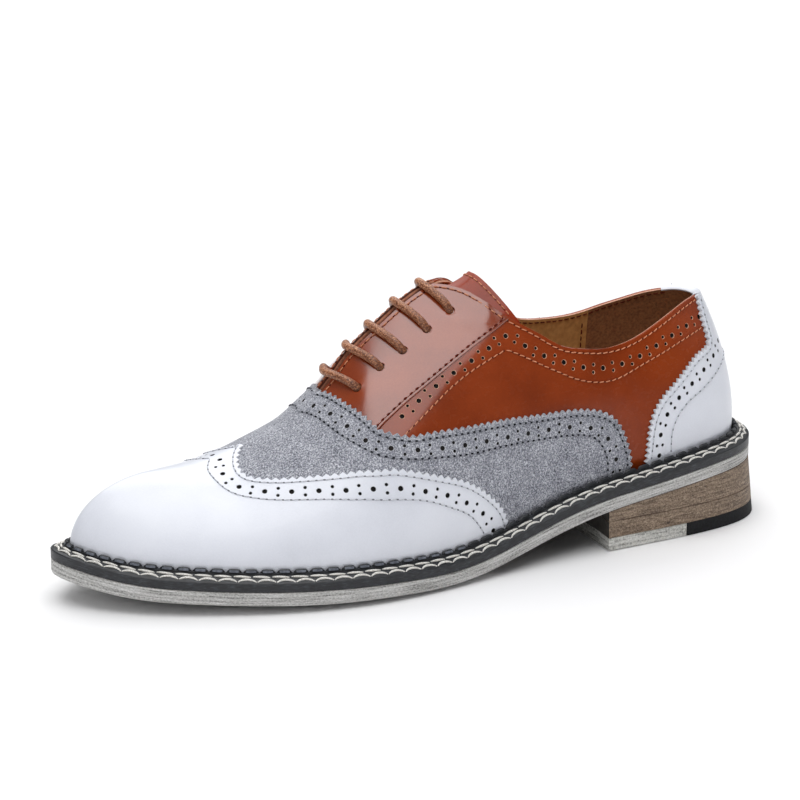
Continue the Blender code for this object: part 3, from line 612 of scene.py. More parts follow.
# Lining: thin leather inside the whole upper, pale tan in front and a darker sueded heel grip behind,
# joined by a stitched seam on each side and sewn to the quarters along the collar.
# A rise h goes up a section of the upper, from 0 at the welt to 1 at the ridge over the foot.
FEATHER_CLEARANCE = 0.5
FACING_GAP, FACING_TOP, THROAT = 2.8, 144.5, 191.0
HEEL_CENTRE, TOE_CENTRE, CENTRE_BLEND, RIDGE_BLEND = 46.0, 260.0, 16.0, 0.02
LINING_FACES = (-1.7, -0.95)
HEEL_GRIP_FRONT = 66.5
# Ridge height over the floor, the lower wall's height and outward lean, the crown's share of the half
# width, and how steeply the two sides meet along the ridge
UPPER_SIDE = columns("x ridge wall lean crown tilt", (
    (0, 118.0, 31.0, 0.14, 0.24, 0), (45, 117.5, 42.0, 0.13, 0.33, 0), (85, 117.0, 50.0, 0.13, 0.40, 0),
    (115, 114.2, 55.2, 0.13, 0.44, 0.2), (132, 110.8, 58.3, 0.14, 0.45, 0.5),
    (144, 107.0, 57.7, 0.14, 0.45, 0.58), (156, 101.0, 55.5, 0.15, 0.45, 0.6),
    (167, 93.0, 52.5, 0.15, 0.45, 0.6), (175, 86.8, 49.3, 0.15, 0.45, 0.58),
    (181, 81.2, 45.3, 0.15, 0.45, 0.5), (188, 72.3, 38.9, 0.15, 0.455, 0.34),
    (193.5, 66.5, 34.1, 0.15, 0.458, 0.19), (197, 62.8, 31.2, 0.15, 0.46, 0.11),
    (201, 59.2, 28.7, 0.15, 0.462, 0.04), (207, 55.7, 26.2, 0.15, 0.465, 0), (215, 52.5, 23.3, 0.15, 0.47, 0),
    (235, 45.4, 17.0, 0.14, 0.51, 0), (258, 43.2, 12.7, 0.13, 0.55, 0),
    (300, 42.0, 12.0, 0.09, 0.64, 0),
))
RIDGE_Y = spline((0, 60, 120, 170, 220, 260, 300), (-1, -1.2, -1.8, -2.4, -4.2, -5.5, -5.5))
COLLAR = spline(
    (0, 25, 52, 70, 84, 93, 101.3, 109.2, 116.8, 125.3, 134.1, FACING_TOP),
    (0.54, 0.527, 0.455, 0.403, 0.396, 0.412, 0.441, 0.501, 0.567, 0.674, 0.833, 0.975),
)
# The inner side's edge, which dips less
INNER_COLLAR = spline(
    (0, 11, 23, 36, 47, 57.5, 67.5, 77.5, 87.5, 97, 108, 116.8, 125.3, 134.1, FACING_TOP),
    (0.54, 0.529, 0.514, 0.493, 0.469, 0.448, 0.428, 0.419, 0.424, 0.441, 0.496, 0.567, 0.674, 0.833, 0.975),
)


def centre_x(x):
    """Ridge point that a section leans to: level with it, but kept off the heel's and toe's ends."""
    ahead = HEEL_CENTRE + CENTRE_BLEND * np.logaddexp(0, (x - HEEL_CENTRE) / CENTRE_BLEND)
    return TOE_CENTRE - CENTRE_BLEND * np.logaddexp(0, (TOE_CENTRE - ahead) / CENTRE_BLEND)


def section_frame(s):
    """Foot and ridge of the section at a station, its half width and its direction in plan."""
    x = x_of(s)
    foot = sole_edge(s, UPPER_INSET(x))
    middle = centre_x(x)
    ridge = np.stack([middle, RIDGE_Y(middle)], -1)
    across = ridge - foot
    half = np.linalg.norm(across, axis=-1)
    return x, foot, ridge, half, across / half[..., None]


def on_upper(s, h):
    """Points of the upper's outer face: each section is one curve from the welt to the ridge."""
    s, h = np.broadcast_arrays(np.asarray(s, float), np.asarray(h, float))
    x, foot, ridge, half, across = section_frame(s)
    low = welt_top(foot[..., 0]) + FEATHER_CLEARANCE
    high = UPPER_SIDE.ridge(ridge[..., 0])
    slope = UPPER_SIDE.ridge(ridge[..., 0] + 0.5) - UPPER_SIDE.ridge(ridge[..., 0] - 0.5)
    wall, crown = UPPER_SIDE.wall(x), UPPER_SIDE.crown(x) * half
    first, second = 3 * (1 - h) ** 2 * h, 3 * (1 - h) * h**2
    inward = -first * UPPER_SIDE.lean(x) * wall + second * (half - crown) + h**3 * half
    crown_z = high - slope * across[..., 0] * crown - UPPER_SIDE.tilt(x) * crown
    z = (1 - h) ** 3 * low + first * (low + wall) + second * crown_z + h**3 * high
    return np.concatenate([foot + across * inward[..., None], z[..., None]], -1)


def facing_rise(s):
    x, _, _, half, _ = section_frame(s)
    return 1 - FACING_GAP / 2 / (3 * UPPER_SIDE.crown(x) * half)


def top_rise(s):
    """Rise of the upper's free edge: collar, facing, then the closed vamp in front of the throat."""
    x = x_of(s)
    behind = np.clip(x, 0, FACING_TOP)
    collar = np.where(np.asarray(s) < 0, INNER_COLLAR(behind), COLLAR(behind))
    collar = np.where(x < FACING_TOP, collar, 1.0)
    return np.where(x < THROAT, np.minimum(collar, facing_rise(s)), 1.0)


def lengthways(s, h):
    return on_upper(s + SMALL, h) - on_upper(s - SMALL, h)


def one_side(s, h):
    h = np.clip(h, SMALL, 1 - SMALL)
    return unit(np.cross(on_upper(s, h + SMALL) - on_upper(s, h - SMALL), lengthways(s, h)))


def outward(s, h):
    """Unit normals. On the ridge both sides share one, halfway between their own."""
    s, h = np.broadcast_arrays(np.asarray(s, float), np.asarray(h, float))
    share = np.clip(1 - (1 - h) / RIDGE_BLEND, 0, 1)[..., None] / 2
    return unit(one_side(s, h) * (1 - share) + one_side(-s, h) * share)


def shell(s, h, proud):
    """Points of the upper's function, moved out by proud."""
    return on_upper(s, h) + outward(s, h) * np.asarray(proud)[..., None]


lining_rows = np.linspace(0, 1, 30)
lining_s = np.repeat(AROUND[:, None], len(lining_rows), axis=1)
lining_h = top_rise(AROUND)[:, None] * lining_rows
points = np.concatenate([shell(lining_s, lining_h, proud).reshape(-1, 3) for proud in LINING_FACES])
number = np.arange(2 * lining_s.size).reshape(2, *lining_s.shape)
collar_open = top_rise(AROUND) < 1
faces, marks = [], []
for i in range(len(AROUND)):
    j = (i + 1) % len(AROUND)
    grip = int(x_of(AROUND[i]) < HEEL_GRIP_FRONT)
    for layer in number:
        for k in range(len(lining_rows) - 1):
            faces.append((layer[i, k], layer[j, k], layer[j, k + 1], layer[i, k + 1]))
            marks.append(grip)
    for end in (0, -1) if collar_open[i] or collar_open[j] else (0,):
        faces.append((number[1][i, end], number[1][j, end], number[0][j, end], number[0][i, end]))
        marks.append(2)
lining_finishes = [
    grained("lining_leather", 520, 4.0, 0.6, (190, 136, 78), (218, 164, 102), 0.25),
    grained("heel_grip_suede", 900, 4.0, 0.95, (126, 80, 48), (166, 112, 70), 0.4, 0.0004),
    grained("lining_lip", 900, 2.0, 0.55, (186, 128, 100), (214, 162, 134), 0),
]
add_piece("lining", points, faces, lining_finishes, ["upper"], marks=marks)


# Quarters: two pieces of glossy tan calf, the outer one and its mirror image, which meet under the
# counter. The collar is rolled over, and a punched and stitched band runs below it and up to the facing.
# A panel is cut on a flat map of the upper, with its teeth and holes, and bent back on to the upper.
STATIONS = np.linspace(-1, 1, 380, endpoint=False)
ROWS = 1 - (1 - np.linspace(0, 1, 52)) ** 1.2
BORDER_MARGIN, HOLE_MARGIN = 0.75, 0.55
EDGE_ROUND, HOLE_ROUND, HOLE_RIM = 0.22, 0.15, 0.16
BIG_HOLE, SMALL_HOLE = 0.95, 0.62
LINE_STEP, EDGE_STEP, FOOT_STEP, TOOTH_STEPS = 0.6, 0.004, 0.005, 6
QUARTER_LOW, QUARTER_HIGH, QUARTER_HOLE_DEPTH = -0.9, 0.0, 0.8


def girth(s, h):
    """Length of leather from each place up its section to the ridge."""
    rises = np.linspace(0, 1, 41)
    sections = on_upper(s[:, None], rises[None])
    run = np.cumsum(np.linalg.norm(np.diff(sections, axis=1), axis=2), axis=1)
    run = np.concatenate([0 * run[:, :1], run], axis=1)
    return run[:, -1] - [np.interp(rise, rises, line) for rise, line in zip(h, run)]


def chart(s, h):
    """The flat map: the sections laid out from the ridge."""
    _, _, ridge, _, across = section_frame(s)
    return ridge - across * girth(s, h)[:, None]


def move(s, h, step):
    """Places shifted by small steps given in space along the upper."""
    low, high = np.clip(h - SMALL, 0, 1), np.clip(h + SMALL, 0, 1)
    by_s = lengthways(s, h) / (2 * SMALL)
    by_h = (on_upper(s, high) - on_upper(s, low)) / (high - low)[..., None]
    a, b, c = (by_s**2).sum(-1), (by_s * by_h).sum(-1), (by_h**2).sum(-1)
    p, q = (by_s * step).sum(-1), (by_h * step).sum(-1)
    spread = a * c - b * b
    risen = np.clip(h + (a * q - b * p) / spread, 0, 1)
    return s + (c * p - b * q) / spread, np.where(h >= 1, 1.0, risen)


def slide(run, distance):
    """A line on the upper moved sideways along it, to the left of its run seen from outside."""
    s, h = run
    side = unit(np.cross(outward(s, h), np.gradient(on_upper(s, h), axis=0)))
    return move(s, h, side * np.broadcast_to(distance, s.shape)[:, None])


def line_on(*places):
    """A smooth line on the outer side through places given as x and rise."""
    x, h = np.array(places, float).T
    run = lengths(chart(station_at(x), h))
    along = np.linspace(0, run[-1], max(round(run[-1] / LINE_STEP), 2) + 1)
    return station_at(spline(run, x)(along)), np.clip(spline(run, h)(along), 0, 1)


def free_line(rear, front, drop=0.0, side=1):
    """The upper's free edge from one x to another, or the inner side's one laid over to the outer side."""
    start, end = station_at(rear), station_at(front)
    s = np.linspace(start, end, round(abs(start - end) / EDGE_STEP) + 2)
    return s, top_rise(side * s) - drop


def foot_line(start, end):
    """A run along the welt from one station to another. Past 1 it goes on round the toe."""
    s = np.linspace(start, end, round(abs(end - start) / FOOT_STEP) + 2)
    return np.where(s > 1, s - 2, s), np.zeros(len(s))


def plain(run):
    return np.array([*run, *run])


def rolled(run, inward):
    """A border whose upper rim is drawn in, to the left where inward is positive."""
    return np.array([*run, *slide(run, inward * EDGE_ROUND)])


def at_lengths(at, length, run):
    """Places of a line on the upper at these lengths along it."""
    return tuple(np.interp(at, length, values) for values in run)


def pinked(run, pitch, depth, out):
    """A border cut in teeth, which point to the left where out is positive."""
    length = lengths(on_upper(*run))
    steps = round(length[-1] / pitch) * TOOTH_STEPS + 1
    fine = at_lengths(np.linspace(0, length[-1], steps), length, run)
    phase = np.arange(steps) % TOOTH_STEPS / TOOTH_STEPS
    offset = out * depth * (0.5 - np.abs(2 * phase - 1))
    return np.array([*slide(fine, offset), *slide(fine, offset - out * EDGE_ROUND)])


def mirrored(border):
    return (border * [[-1], [1], [-1], [1]])[:, ::-1]


def loop_of(*borders):
    """Borders joined end to end, each without its last point."""
    return np.concatenate([border[:, :-1] for border in borders], axis=1)


def inside(points, loop):
    """Which points of the flat map lie inside the loop."""
    found = np.zeros(len(points), bool)
    for (x0, y0), (x1, y1) in zip(loop, np.roll(loop, -1, axis=0)):
        if y0 != y1:
            crosses = (y0 > points[:, 1]) != (y1 > points[:, 1])
            found ^= crosses & (points[:, 0] < x0 + (points[:, 1] - y0) / (y1 - y0) * (x1 - x0))
    return found


def nearest(points, others):
    """Distance from each point to the nearest of the others."""
    tree = KDTree(len(others))
    for i, place in enumerate(others):
        tree.insert(place, i)
    tree.balance()
    return np.array([tree.find(place)[2] for place in points])


def punched(s, h, radius, sides):
    """Rings of places round hole centres."""
    s, h = np.asarray(s)[:, None], np.asarray(h)[:, None]
    along = unit(lengthways(s, h))
    side = np.cross(outward(s, h), along)
    turn = (np.arange(sides) / sides * 2 * np.pi)[None, :, None]
    step = (np.cos(turn) * along + np.sin(turn) * side) * radius
    return move(np.repeat(s, sides, 1), np.repeat(h, sides, 1), step)


def brogue_row(run, pitch, spread, start):
    """Centres and sizes of a row of big holes, and of a pair of small holes between each two."""
    length = lengths(on_upper(*run))
    at = np.arange(start, length[-1], pitch)
    halfway = at + pitch / 2
    halfway = halfway[halfway < length[-1]]
    small = [at_lengths(halfway, length, slide(run, side)) for side in (-spread, spread)]
    return [(*at_lengths(at, length, run), BIG_HOLE, 14), (*np.concatenate(small, axis=1), SMALL_HOLE, 10)]


def both_sides(holes):
    return [(np.append(s, -s), np.append(h, h), radius, sides) for s, h, radius, sides in holes]


# Painted shade: the dark walls and floors of blind holes and eyelets stand for the shade inside them
painted_hole_shade = grained("painted_hole_shade", 900, 2.0, 0.9, (16, 13, 12), (30, 25, 23), 0)


def cut_panel(name, border, low, high, finishes, nodes, holes, depth=0.8, raw=True, relief=None):
    """A leather panel between two heights over the upper, with a rounded rim and blind punched holes.

    Its finishes are for its face, for the rims of the holes and for those borders that are raw. The holes'
    walls and floors are painted dark, a painted shade inside them.
    """
    size = len(border[0])
    rings = [border]
    for centre_s, centre_h, radius, sides in holes:
        walls, rims = (punched(centre_s, centre_h, radius + more, sides) for more in (0.0, HOLE_RIM))
        rings += zip(*walls, *rims)
    grid = np.array([np.repeat(STATIONS, len(ROWS)), (top_rise(STATIONS)[:, None] * ROWS).ravel()])
    grid = grid[:, (grid[1] < 1) | (grid[0] <= 0)]
    grid = grid[:, inside(chart(*grid), chart(*border[:2]))]
    places = on_upper(*grid)
    kept = nearest(places, on_upper(*border[:2])) > BORDER_MARGIN
    for centre_s, centre_h, radius, sides in holes:
        kept &= nearest(places, on_upper(centre_s, centre_h)) > radius + HOLE_MARGIN
    grid = grid[:, kept]
    all_s, all_h, top_s, top_h = np.concatenate([*rings, np.vstack([grid, grid])], axis=1)
    total = len(all_s)
    edges, owner, start = [], np.zeros(total, int), 0
    for number, ring in enumerate(rings):
        sides = len(ring[0])
        edges += [(start + i, start + (i + 1) % sides) for i in range(sides)]
        owner[start : start + sides] = number
        start += sides
    flat = chart(all_s, all_h)
    found = delaunay_2d_cdt([Vector(place) for place in flat], edges, [], 1, 1e-7)
    origin = np.array([ids[0] for ids in found[3]])
    triangles = origin[np.array([list(face) for face in found[2]])]
    one, two = (flat[triangles[:, k]] - flat[triangles[:, 0]] for k in (1, 2))
    turned = one[:, 0] * two[:, 1] - one[:, 1] * two[:, 0] < 0
    triangles[turned] = triangles[turned][:, ::-1]
    owned = owner[triangles]
    plug = (owned[:, 0] > 0) & (owned == owned[:, :1]).all(1)
    lift = 0 * all_s if relief is None else relief(on_upper(all_s, all_h))
    rounded = np.where(np.arange(start) < size, EDGE_ROUND, HOLE_ROUND)
    layers = (
        shell(all_s, all_h, low),
        shell(top_s, top_h, high + lift),
        shell(all_s[:start], all_h[:start], high - rounded + lift[:start]),
        shell(all_s[size:start], all_h[size:start], high - depth + lift[size:start]),
    )
    middle, base = 2 * total, 2 * total + start - size
    faces = triangles[:, ::-1].tolist() + (triangles[~plug] + total).tolist()
    marks = [0] * len(faces)
    for (a, b), bare in zip(edges, np.broadcast_to(raw, size)):
        faces += [(a, b, middle + b, middle + a), (middle + a, middle + b, total + b, total + a)]
        marks += [3 * bare] * 2
    for a, b in edges[size:]:
        faces.append((total + b, total + a, middle + a, middle + b))
        faces.append((middle + b, middle + a, base + a, base + b))
        marks += [2, 1]
    faces += (triangles[plug] + base).tolist()
    marks += [1] * int(plug.sum())
    face, rim, edge = finishes
    panel_finishes = [face, painted_hole_shade, rim, edge]
    return add_piece(name, np.concatenate(layers), faces, panel_finishes, nodes, marks=marks)


STITCH_SHARE = np.array((0.0, 0.18, 0.5, 0.82, 1.0))
STITCH_ARCH = np.array((-0.35, 0.7, 1.0, 0.7, -0.35))
STITCH_SWELL = np.array((0.55, 1.0, 1.0, 1.0, 0.55))


def sew(name, lines, slot, nodes, pitch, finish, length, thick, proud, phase=0.0, slant=0.0, lift=0.25):
    """A row of stitches along lines on the upper, at a height over it, as one mesh."""
    paths, ups = [], []
    lean = slant * (STITCH_SHARE - 0.5)
    for run in lines:
        distance = lengths(on_upper(*run))
        at = np.arange(phase * pitch + (pitch - length) / 2, distance[-1], pitch)
        along = at[at + length < distance[-1], None] + STITCH_SHARE * length
        s, h = at_lengths(along, distance, run)
        beside_s, beside_h = at_lengths(along, distance, slide(run, 1.0))
        s, h = s + (beside_s - s) * lean, h + (beside_h - h) * lean
        paths.append(shell(s, h, proud + STITCH_ARCH * lift))
        ups.append(outward(s, h))
    swell = STITCH_SWELL * thick / 2
    points, faces = tubes(np.concatenate(paths), np.concatenate(ups), (swell, swell))
    add_piece(name, points, faces, [finish], nodes)


def sew_row(name, lines, slot, nodes, pitch, thread, needle_shade, slant=0.0):
    """Stitches with a needle hole between each two, painted as a dark mark of shade; each is given by its
    finish, length, thickness and height.
    """
    sew(f"{name}_thread", lines, slot, nodes, pitch, *thread, slant=slant)
    sew(f"{name}_needles", lines, slot, nodes, pitch, *needle_shade, phase=0.5)


def leather(name, dark, mid, light, gloss, grain, coat, **constants):
    """Finished leather: clouded colour, fine pores and creases, and a gloss that varies a little."""
    finish = Finish(name, Coat_Weight=coat, Coat_Roughness=0.12, **constants)
    clouds = finish.noise(finish.place(), 38, 3.0)
    pores = finish.noise(finish.place(), 1600, 3.0, 0.6)
    creases = finish.noise(finish.place((1, 1, 1.6)), 330, 4.0, 0.55)
    finish.colour(clouds * 0.7 + pores * 0.3, (0.32, dark), (0.5, mid), (0.68, light))
    finish.feed("Roughness", creases * 0.16 + (gloss - 0.08))
    finish.bump(pores * 0.5 + creases, grain, 0.0004)
    return finish


def flecked(name, scale, roughness, dark, light):
    """A matt finish for thread, cut edges and hole rims, for the painted shade of needle holes and for the
    painted highlight on tan hole rims.
    """
    return grained(name, scale, 2.0, roughness, dark, light, shine=0.05)


tan_calf = leather(
    "tan_calf", (122, 46, 13), (142, 56, 18), (156, 66, 26), 0.26, 0.06, 0.8, Specular_IOR_Level=0.15
)
# The polish fades towards the heel, over these metres from the middle of the shoe
POLISH_END, POLISH_START = -0.085, -0.01
lengthwise = tan_calf.node("ShaderNodeSeparateXYZ", None, {"Vector": tan_calf.place()})
fade = {0: lengthwise - POLISH_END, 1: 1 / (POLISH_START - POLISH_END)}
polish = tan_calf.node("ShaderNodeMath", {"operation": "MULTIPLY", "use_clamp": True}, fade)
tan_calf.feed("Coat Weight", polish * 0.85 + 0.05)
# Painted highlight: the rounded rims of the holes in the tan calf are painted pale
tan_rim_highlight = flecked("tan_hole_rim_highlight", 900, 0.5, (212, 156, 126), (236, 192, 166))
quarter_cut = flecked("quarter_cut_edge", 900, 0.7, (146, 92, 70), (184, 128, 104))
tan_finishes = (tan_calf, tan_rim_highlight, quarter_cut)
throat_s, quarter_front = station_at(THROAT - 0.05), station_at(THROAT + 6.0)
throat_down = np.linspace(0.0, 1.0, 60)[::-1]
front_s = throat_s + (quarter_front - throat_s) * np.clip((1 - throat_down) * 8, 0, 1)
front_h = throat_down * top_rise(np.array(throat_s))
seam_h = np.linspace(0, 1, 60) * top_rise(np.array(0.0))
quarter_rest = (
    rolled(free_line(FACING_TOP + 0.1, THROAT - 0.05), 1),
    plain((front_s, front_h)),
    plain(foot_line(quarter_front, 0.0)),
    plain((0 * seam_h, seam_h)),
)


def lace_edge(border):
    """Which places of a border lie on the cut edge beside the lace."""
    s, h = border[:2]
    x = x_of(s)
    return (h > facing_rise(s) - 0.02) & (x > FACING_TOP - 1) & (x < THROAT + 3)


BAND_ROW = line_on(
    (179, 0.494), (172, 0.508), (164.8, 0.517), (157, 0.522), (149, 0.525), (139.7, 0.529), (132, 0.537),
    (123.7, 0.547), (116, 0.477), (107, 0.414), (98, 0.371), (89, 0.341), (80, 0.332), (71.9, 0.337),
    (63.3, 0.354), (54.8, 0.378), (46.6, 0.400), (36.4, 0.425), (20, 0.458),
)
band_holes = brogue_row(BAND_ROW, 9.1, 1.5, 7.7)
inner_holes = [(-s, h, radius, sides) for s, h, radius, sides in band_holes]


def creased(*folds):
    """A relief of soft troughs, or ridges where depth is below 0, on the outer side.

    A fold has the x and the rise of its two ends, its width and its depth.
    """
    runs = []
    for x, h, width, depth in folds:
        start, end = on_upper(station_at(np.array(x)), np.array(h))
        runs.append((start, end - start, width, depth))

    def relief(points):
        lift = np.zeros(len(points))
        for start, along, width, depth in runs:
            share = np.clip((points - start) @ along / (along @ along), 0, 1)
            gap = np.linalg.norm(points - start - share[:, None] * along, axis=1)
            lift -= depth * np.exp(-((gap / width) ** 2))
        return lift

    return relief


quarter_folds = creased(
    ((138, 128.5), (0.46, 0.478), 2.2, 0.16),
    ((134, 122.5), (0.425, 0.445), 2.2, 0.18),
    ((139, 126), (0.405, 0.412), 2.4, 0.14),
    ((72, 66), (0.27, 0.2), 3.0, 0.15),
)
for name, side, holes in (("quarter_outer", 1, band_holes), ("quarter_inner", -1, inner_holes)):
    loop = loop_of(rolled(free_line(0, FACING_TOP, side=side), 1), *quarter_rest)
    loop = loop if side > 0 else mirrored(loop)
    cut_panel(
        name, loop, QUARTER_LOW, QUARTER_HIGH, tan_finishes, ["upper"],
        holes, QUARTER_HOLE_DEPTH, lace_edge(loop), quarter_folds,
    )

BAND_LINE_FRONT = line_on(
    (174, 0.428), (165.2, 0.45), (157.5, 0.468), (151.8, 0.480), (144.9, 0.490), (125, 0.5)
)
BAND_LINE_BACK = line_on(
    (125, 0.5), (119.1, 0.458), (111.8, 0.407), (102.9, 0.355), (96.5, 0.323), (89, 0.299), (82, 0.290),
    (76.4, 0.293), (70.8, 0.305), (65, 0.320), (52.7, 0.350), (39.2, 0.384), (20, 0.421),
)
tan_thread = flecked("tan_thread", 2400, 0.55, (196, 122, 86), (228, 164, 130))
# Painted shade: dark marks between stitches for the shade in needle holes; the lining's seams use it as dark
# thread too
needle_shade_and_dark_thread = flecked("needle_shade_and_dark_thread", 900, 0.8, (70, 22, 12), (104, 38, 24))


def paired(*lines):
    return [line for run in lines for line in (run, (-run[0], run[1]))]


def collar_rows(below):
    """A line this far below the collar on each side."""
    outer, inner = (slide(free_line(19, 143, side=side), below) for side in (1, -1))
    return [outer, (-inner[0], inner[1])]


band_lines = paired(BAND_LINE_FRONT, BAND_LINE_BACK) + collar_rows(1.8)
band_stitches, band_needle_shade = (tan_thread, 2.2, 0.46, 0.06), (needle_shade_and_dark_thread, 0.7, 0.5, -0.12)
sew_row("quarter", band_lines, "tan_leather", ["upper"], 2.9, band_stitches, band_needle_shade, 0.28)
seam_rise = np.linspace(0.02, 0.985, 120)
seam_s = station_at(HEEL_GRIP_FRONT + 0.6) + 0 * seam_rise
lining_lines = paired((seam_s, seam_rise * top_rise(seam_s))) + collar_rows(1.4)
# The lining's thread takes the same dark finish as the needle holes' painted shade
lining_stitches = needle_shade_and_dark_thread, 2.0, 0.5, LINING_FACES[0] - 0.05
sew("lining_thread", lining_lines, "tan_leather", ["upper"], 2.9, *lining_stitches, lift=-0.2)


# Facings: the tan pieces that carry the lace, sewn over the fronts of the quarters, each with five blind
# eyelets. A row of stitches follows the free edge, and another the lower edge.
FACING_LOW, FACING_HIGH, FACING_DROP = 0.05, 0.75, 0.006
EYELETS = ((182.5, 0.783), (173.1, 0.773), (163.8, 0.755), (153.2, 0.757), (142.7, 0.772))
EYELET_HOLE, EYELET_DEPTH = 1.8, 1.4
facing_top = free_line(193.0, FACING_TOP + 0.2, FACING_DROP)
facing_collar = free_line(FACING_TOP - 0.2, 121.5, FACING_DROP)
facing_side = line_on(
    (121.4, 0.602), (125.8, 0.592), (133.7, 0.580), (144.1, 0.565), (152, 0.555), (161.2, 0.549),
    (168.7, 0.546), (175.7, 0.538), (181, 0.531), (187, 0.525),
)
facing_top = (facing_top[0], np.minimum(facing_top[1], facing_rise(facing_top[0]) - FACING_DROP))
facing_ends = facing_side[1][-1], facing_top[1][0]
front_rise = np.linspace(*facing_ends, 50)
front_end = np.interp(front_rise, facing_ends, (facing_side[0][-1], facing_top[0][0])), front_rise
facing_borders = [rolled(line, -1) for line in (facing_top, facing_collar, facing_side)]
facing_loop = loop_of(*facing_borders, plain(front_end))
eyelet_x, eyelet_h = np.array(EYELETS).T
facing_calf = leather(
    "facing_calf", (122, 46, 13), (140, 56, 18), (154, 66, 26), 0.2, 0.07, 1.0, Coat_IOR=1.6
)
cut_edge = flecked("facing_cut_edge", 900, 0.7, (62, 34, 26), (100, 62, 50))
facing_folds = creased(
    ((130, 131), (0.712, 0.652), 2.6, -0.4),
    ((145.5, 138.5), (0.745, 0.68), 2.6, -0.5),
)
facing_sides = (
    ("facing_out", "facing_outer", facing_loop, 1), ("facing_in", "facing_inner", mirrored(facing_loop), -1)
)
for name, node, loop, side in facing_sides:
    holes = [(side * station_at(eyelet_x), eyelet_h, EYELET_HOLE, 20)]
    cut_panel(
        name, loop, FACING_LOW, FACING_HIGH, (facing_calf, facing_calf, cut_edge), [node],
        holes, EYELET_DEPTH, lace_edge(loop), facing_folds,
    )
facing_rows = paired(slide(facing_top, -1.9), slide(facing_collar, -1.9))
side_row = paired(slide(facing_side, -1.2))
facing_stitches = (tan_thread, 2.1, 0.5, FACING_HIGH + 0.05), (needle_shade_and_dark_thread, 1.0, 0.65, FACING_HIGH - 0.2)
side_stitches = (facing_calf, 1.7, 0.5, FACING_HIGH), (needle_shade_and_dark_thread, 1.3, 0.9, FACING_HIGH - 0.2)
facing_nodes = ["facing_outer", "facing_inner"]
sew_row("facing", facing_rows, "facing_leather", facing_nodes, 3.0, *facing_stitches)
sew_row("facing_side", side_row, "facing_leather", facing_nodes, 3.0, *side_stitches)


# Vamp: grey suede over the forefoot, with wings that run back along both sides. Its rear edge is pinked
# in small teeth, with two rows of stitches and a row of punched holes along it.
PANEL_LOW = 0.05
VAMP_HIGH, VAMP_HOLE_DEPTH = 1.35, 0.55
VAMP_UNDER_CAP = 2.2
vamp_line = line_on(
    (192.3, 1.0), (191.4, 0.965), (190.2, 0.912), (188.5, 0.818), (186.4, 0.716), (183.9, 0.606),
    (181.6, 0.518), (177.1, 0.455), (171.3, 0.408), (165.6, 0.385), (154, 0.346), (142.2, 0.315),
    (128, 0.285), (114.4, 0.257), (100.4, 0.236), (91.1, 0.219), (84.9, 0.202), (79.3, 0.172),
    (76, 0.137), (73.9, 0.101), (72.1, 0.063), (71, 0.0),
)
vamp_inner_line = line_on(
    (200, 1.0), (197.8, 0.877), (195.3, 0.704), (193.3, 0.62), (189.2, 0.515), (184, 0.419),
    (177.7, 0.355), (165.9, 0.300), (152.6, 0.261), (145.9, 0.246), (130, 0.219), (113.4, 0.191),
    (97.2, 0.163), (89.9, 0.141), (87.2, 0.123), (85.3, 0.100), (84, 0.081), (82.8, 0.020),
)
cap_line = line_on(
    (224, 1.0), (230.9, 0.866), (232.3, 0.722), (227.3, 0.647), (214.4, 0.553), (200.2, 0.474),
    (186.2, 0.370), (175, 0.293), (162.6, 0.231), (148.9, 0.170), (139.4, 0.112), (132.9, 0.060), (129, 0.0),
)


def between(one, two):
    """The line halfway between two others, matched by their share of length."""
    share = np.linspace(0, 1, len(one[0]))
    other = at_lengths(share, np.linspace(0, 1, len(two[0])), two)
    return tuple((a + b) / 2 for a, b in zip(one, other))


suede = Finish("grey_suede", Roughness=1.0, Sheen_Weight=0.2, Sheen_Roughness=0.5)
nap = suede.noise(suede.place(), 1700, 2.0, 0.7) * 0.88 + suede.noise(suede.place(), 120, 3.0) * 0.12
suede.colour(
    nap, (0.37, (86, 88, 97)), (0.46, (138, 140, 150)), (0.54, (164, 166, 176)), (0.63, (214, 216, 222))
)
suede.bump(nap, 0.6, 0.0005)
suede_rim = flecked("suede_hole_rim", 1600, 0.9, (150, 152, 158), (214, 215, 220))
suede_edge = flecked("suede_cut_edge", 1800, 0.95, (120, 122, 130), (206, 208, 214))
vamp_edge = pinked(vamp_line, 2.95, 1.4, 1)
tucked = plain(slide(cap_line, -VAMP_UNDER_CAP))[:, ::-1]
vamp_borders = vamp_edge, plain(foot_line(vamp_edge[0][-1], tucked[0][0])), tucked
vamp_loop = loop_of(*vamp_borders, *[mirrored(border) for border in vamp_borders[::-1]])
vamp_holes = both_sides(brogue_row(between(slide(vamp_line, -3.0), vamp_inner_line), 10.0, 1.6, 5.0))
cut_panel(
    "vamp_suede", vamp_loop, PANEL_LOW, VAMP_HIGH, (suede, suede_rim, suede_edge), ["vamp"],
    vamp_holes, VAMP_HOLE_DEPTH,
)
grey_thread = flecked("grey_thread", 2200, 0.8, (130, 132, 140), (172, 174, 182))
# Painted shade: near-black marks for the needle holes in the suede
grey_needle_shade = flecked("grey_needle_hole_shade", 900, 0.9, (26, 27, 31), (50, 52, 58))
sew_row(
    "vamp", paired(slide(vamp_line, -2.0), vamp_inner_line), "grey_suede", ["vamp"], 2.7,
    (grey_thread, 1.9, 0.5, VAMP_HIGH), (grey_needle_shade, 1.0, 0.75, VAMP_HIGH - 0.1),
)


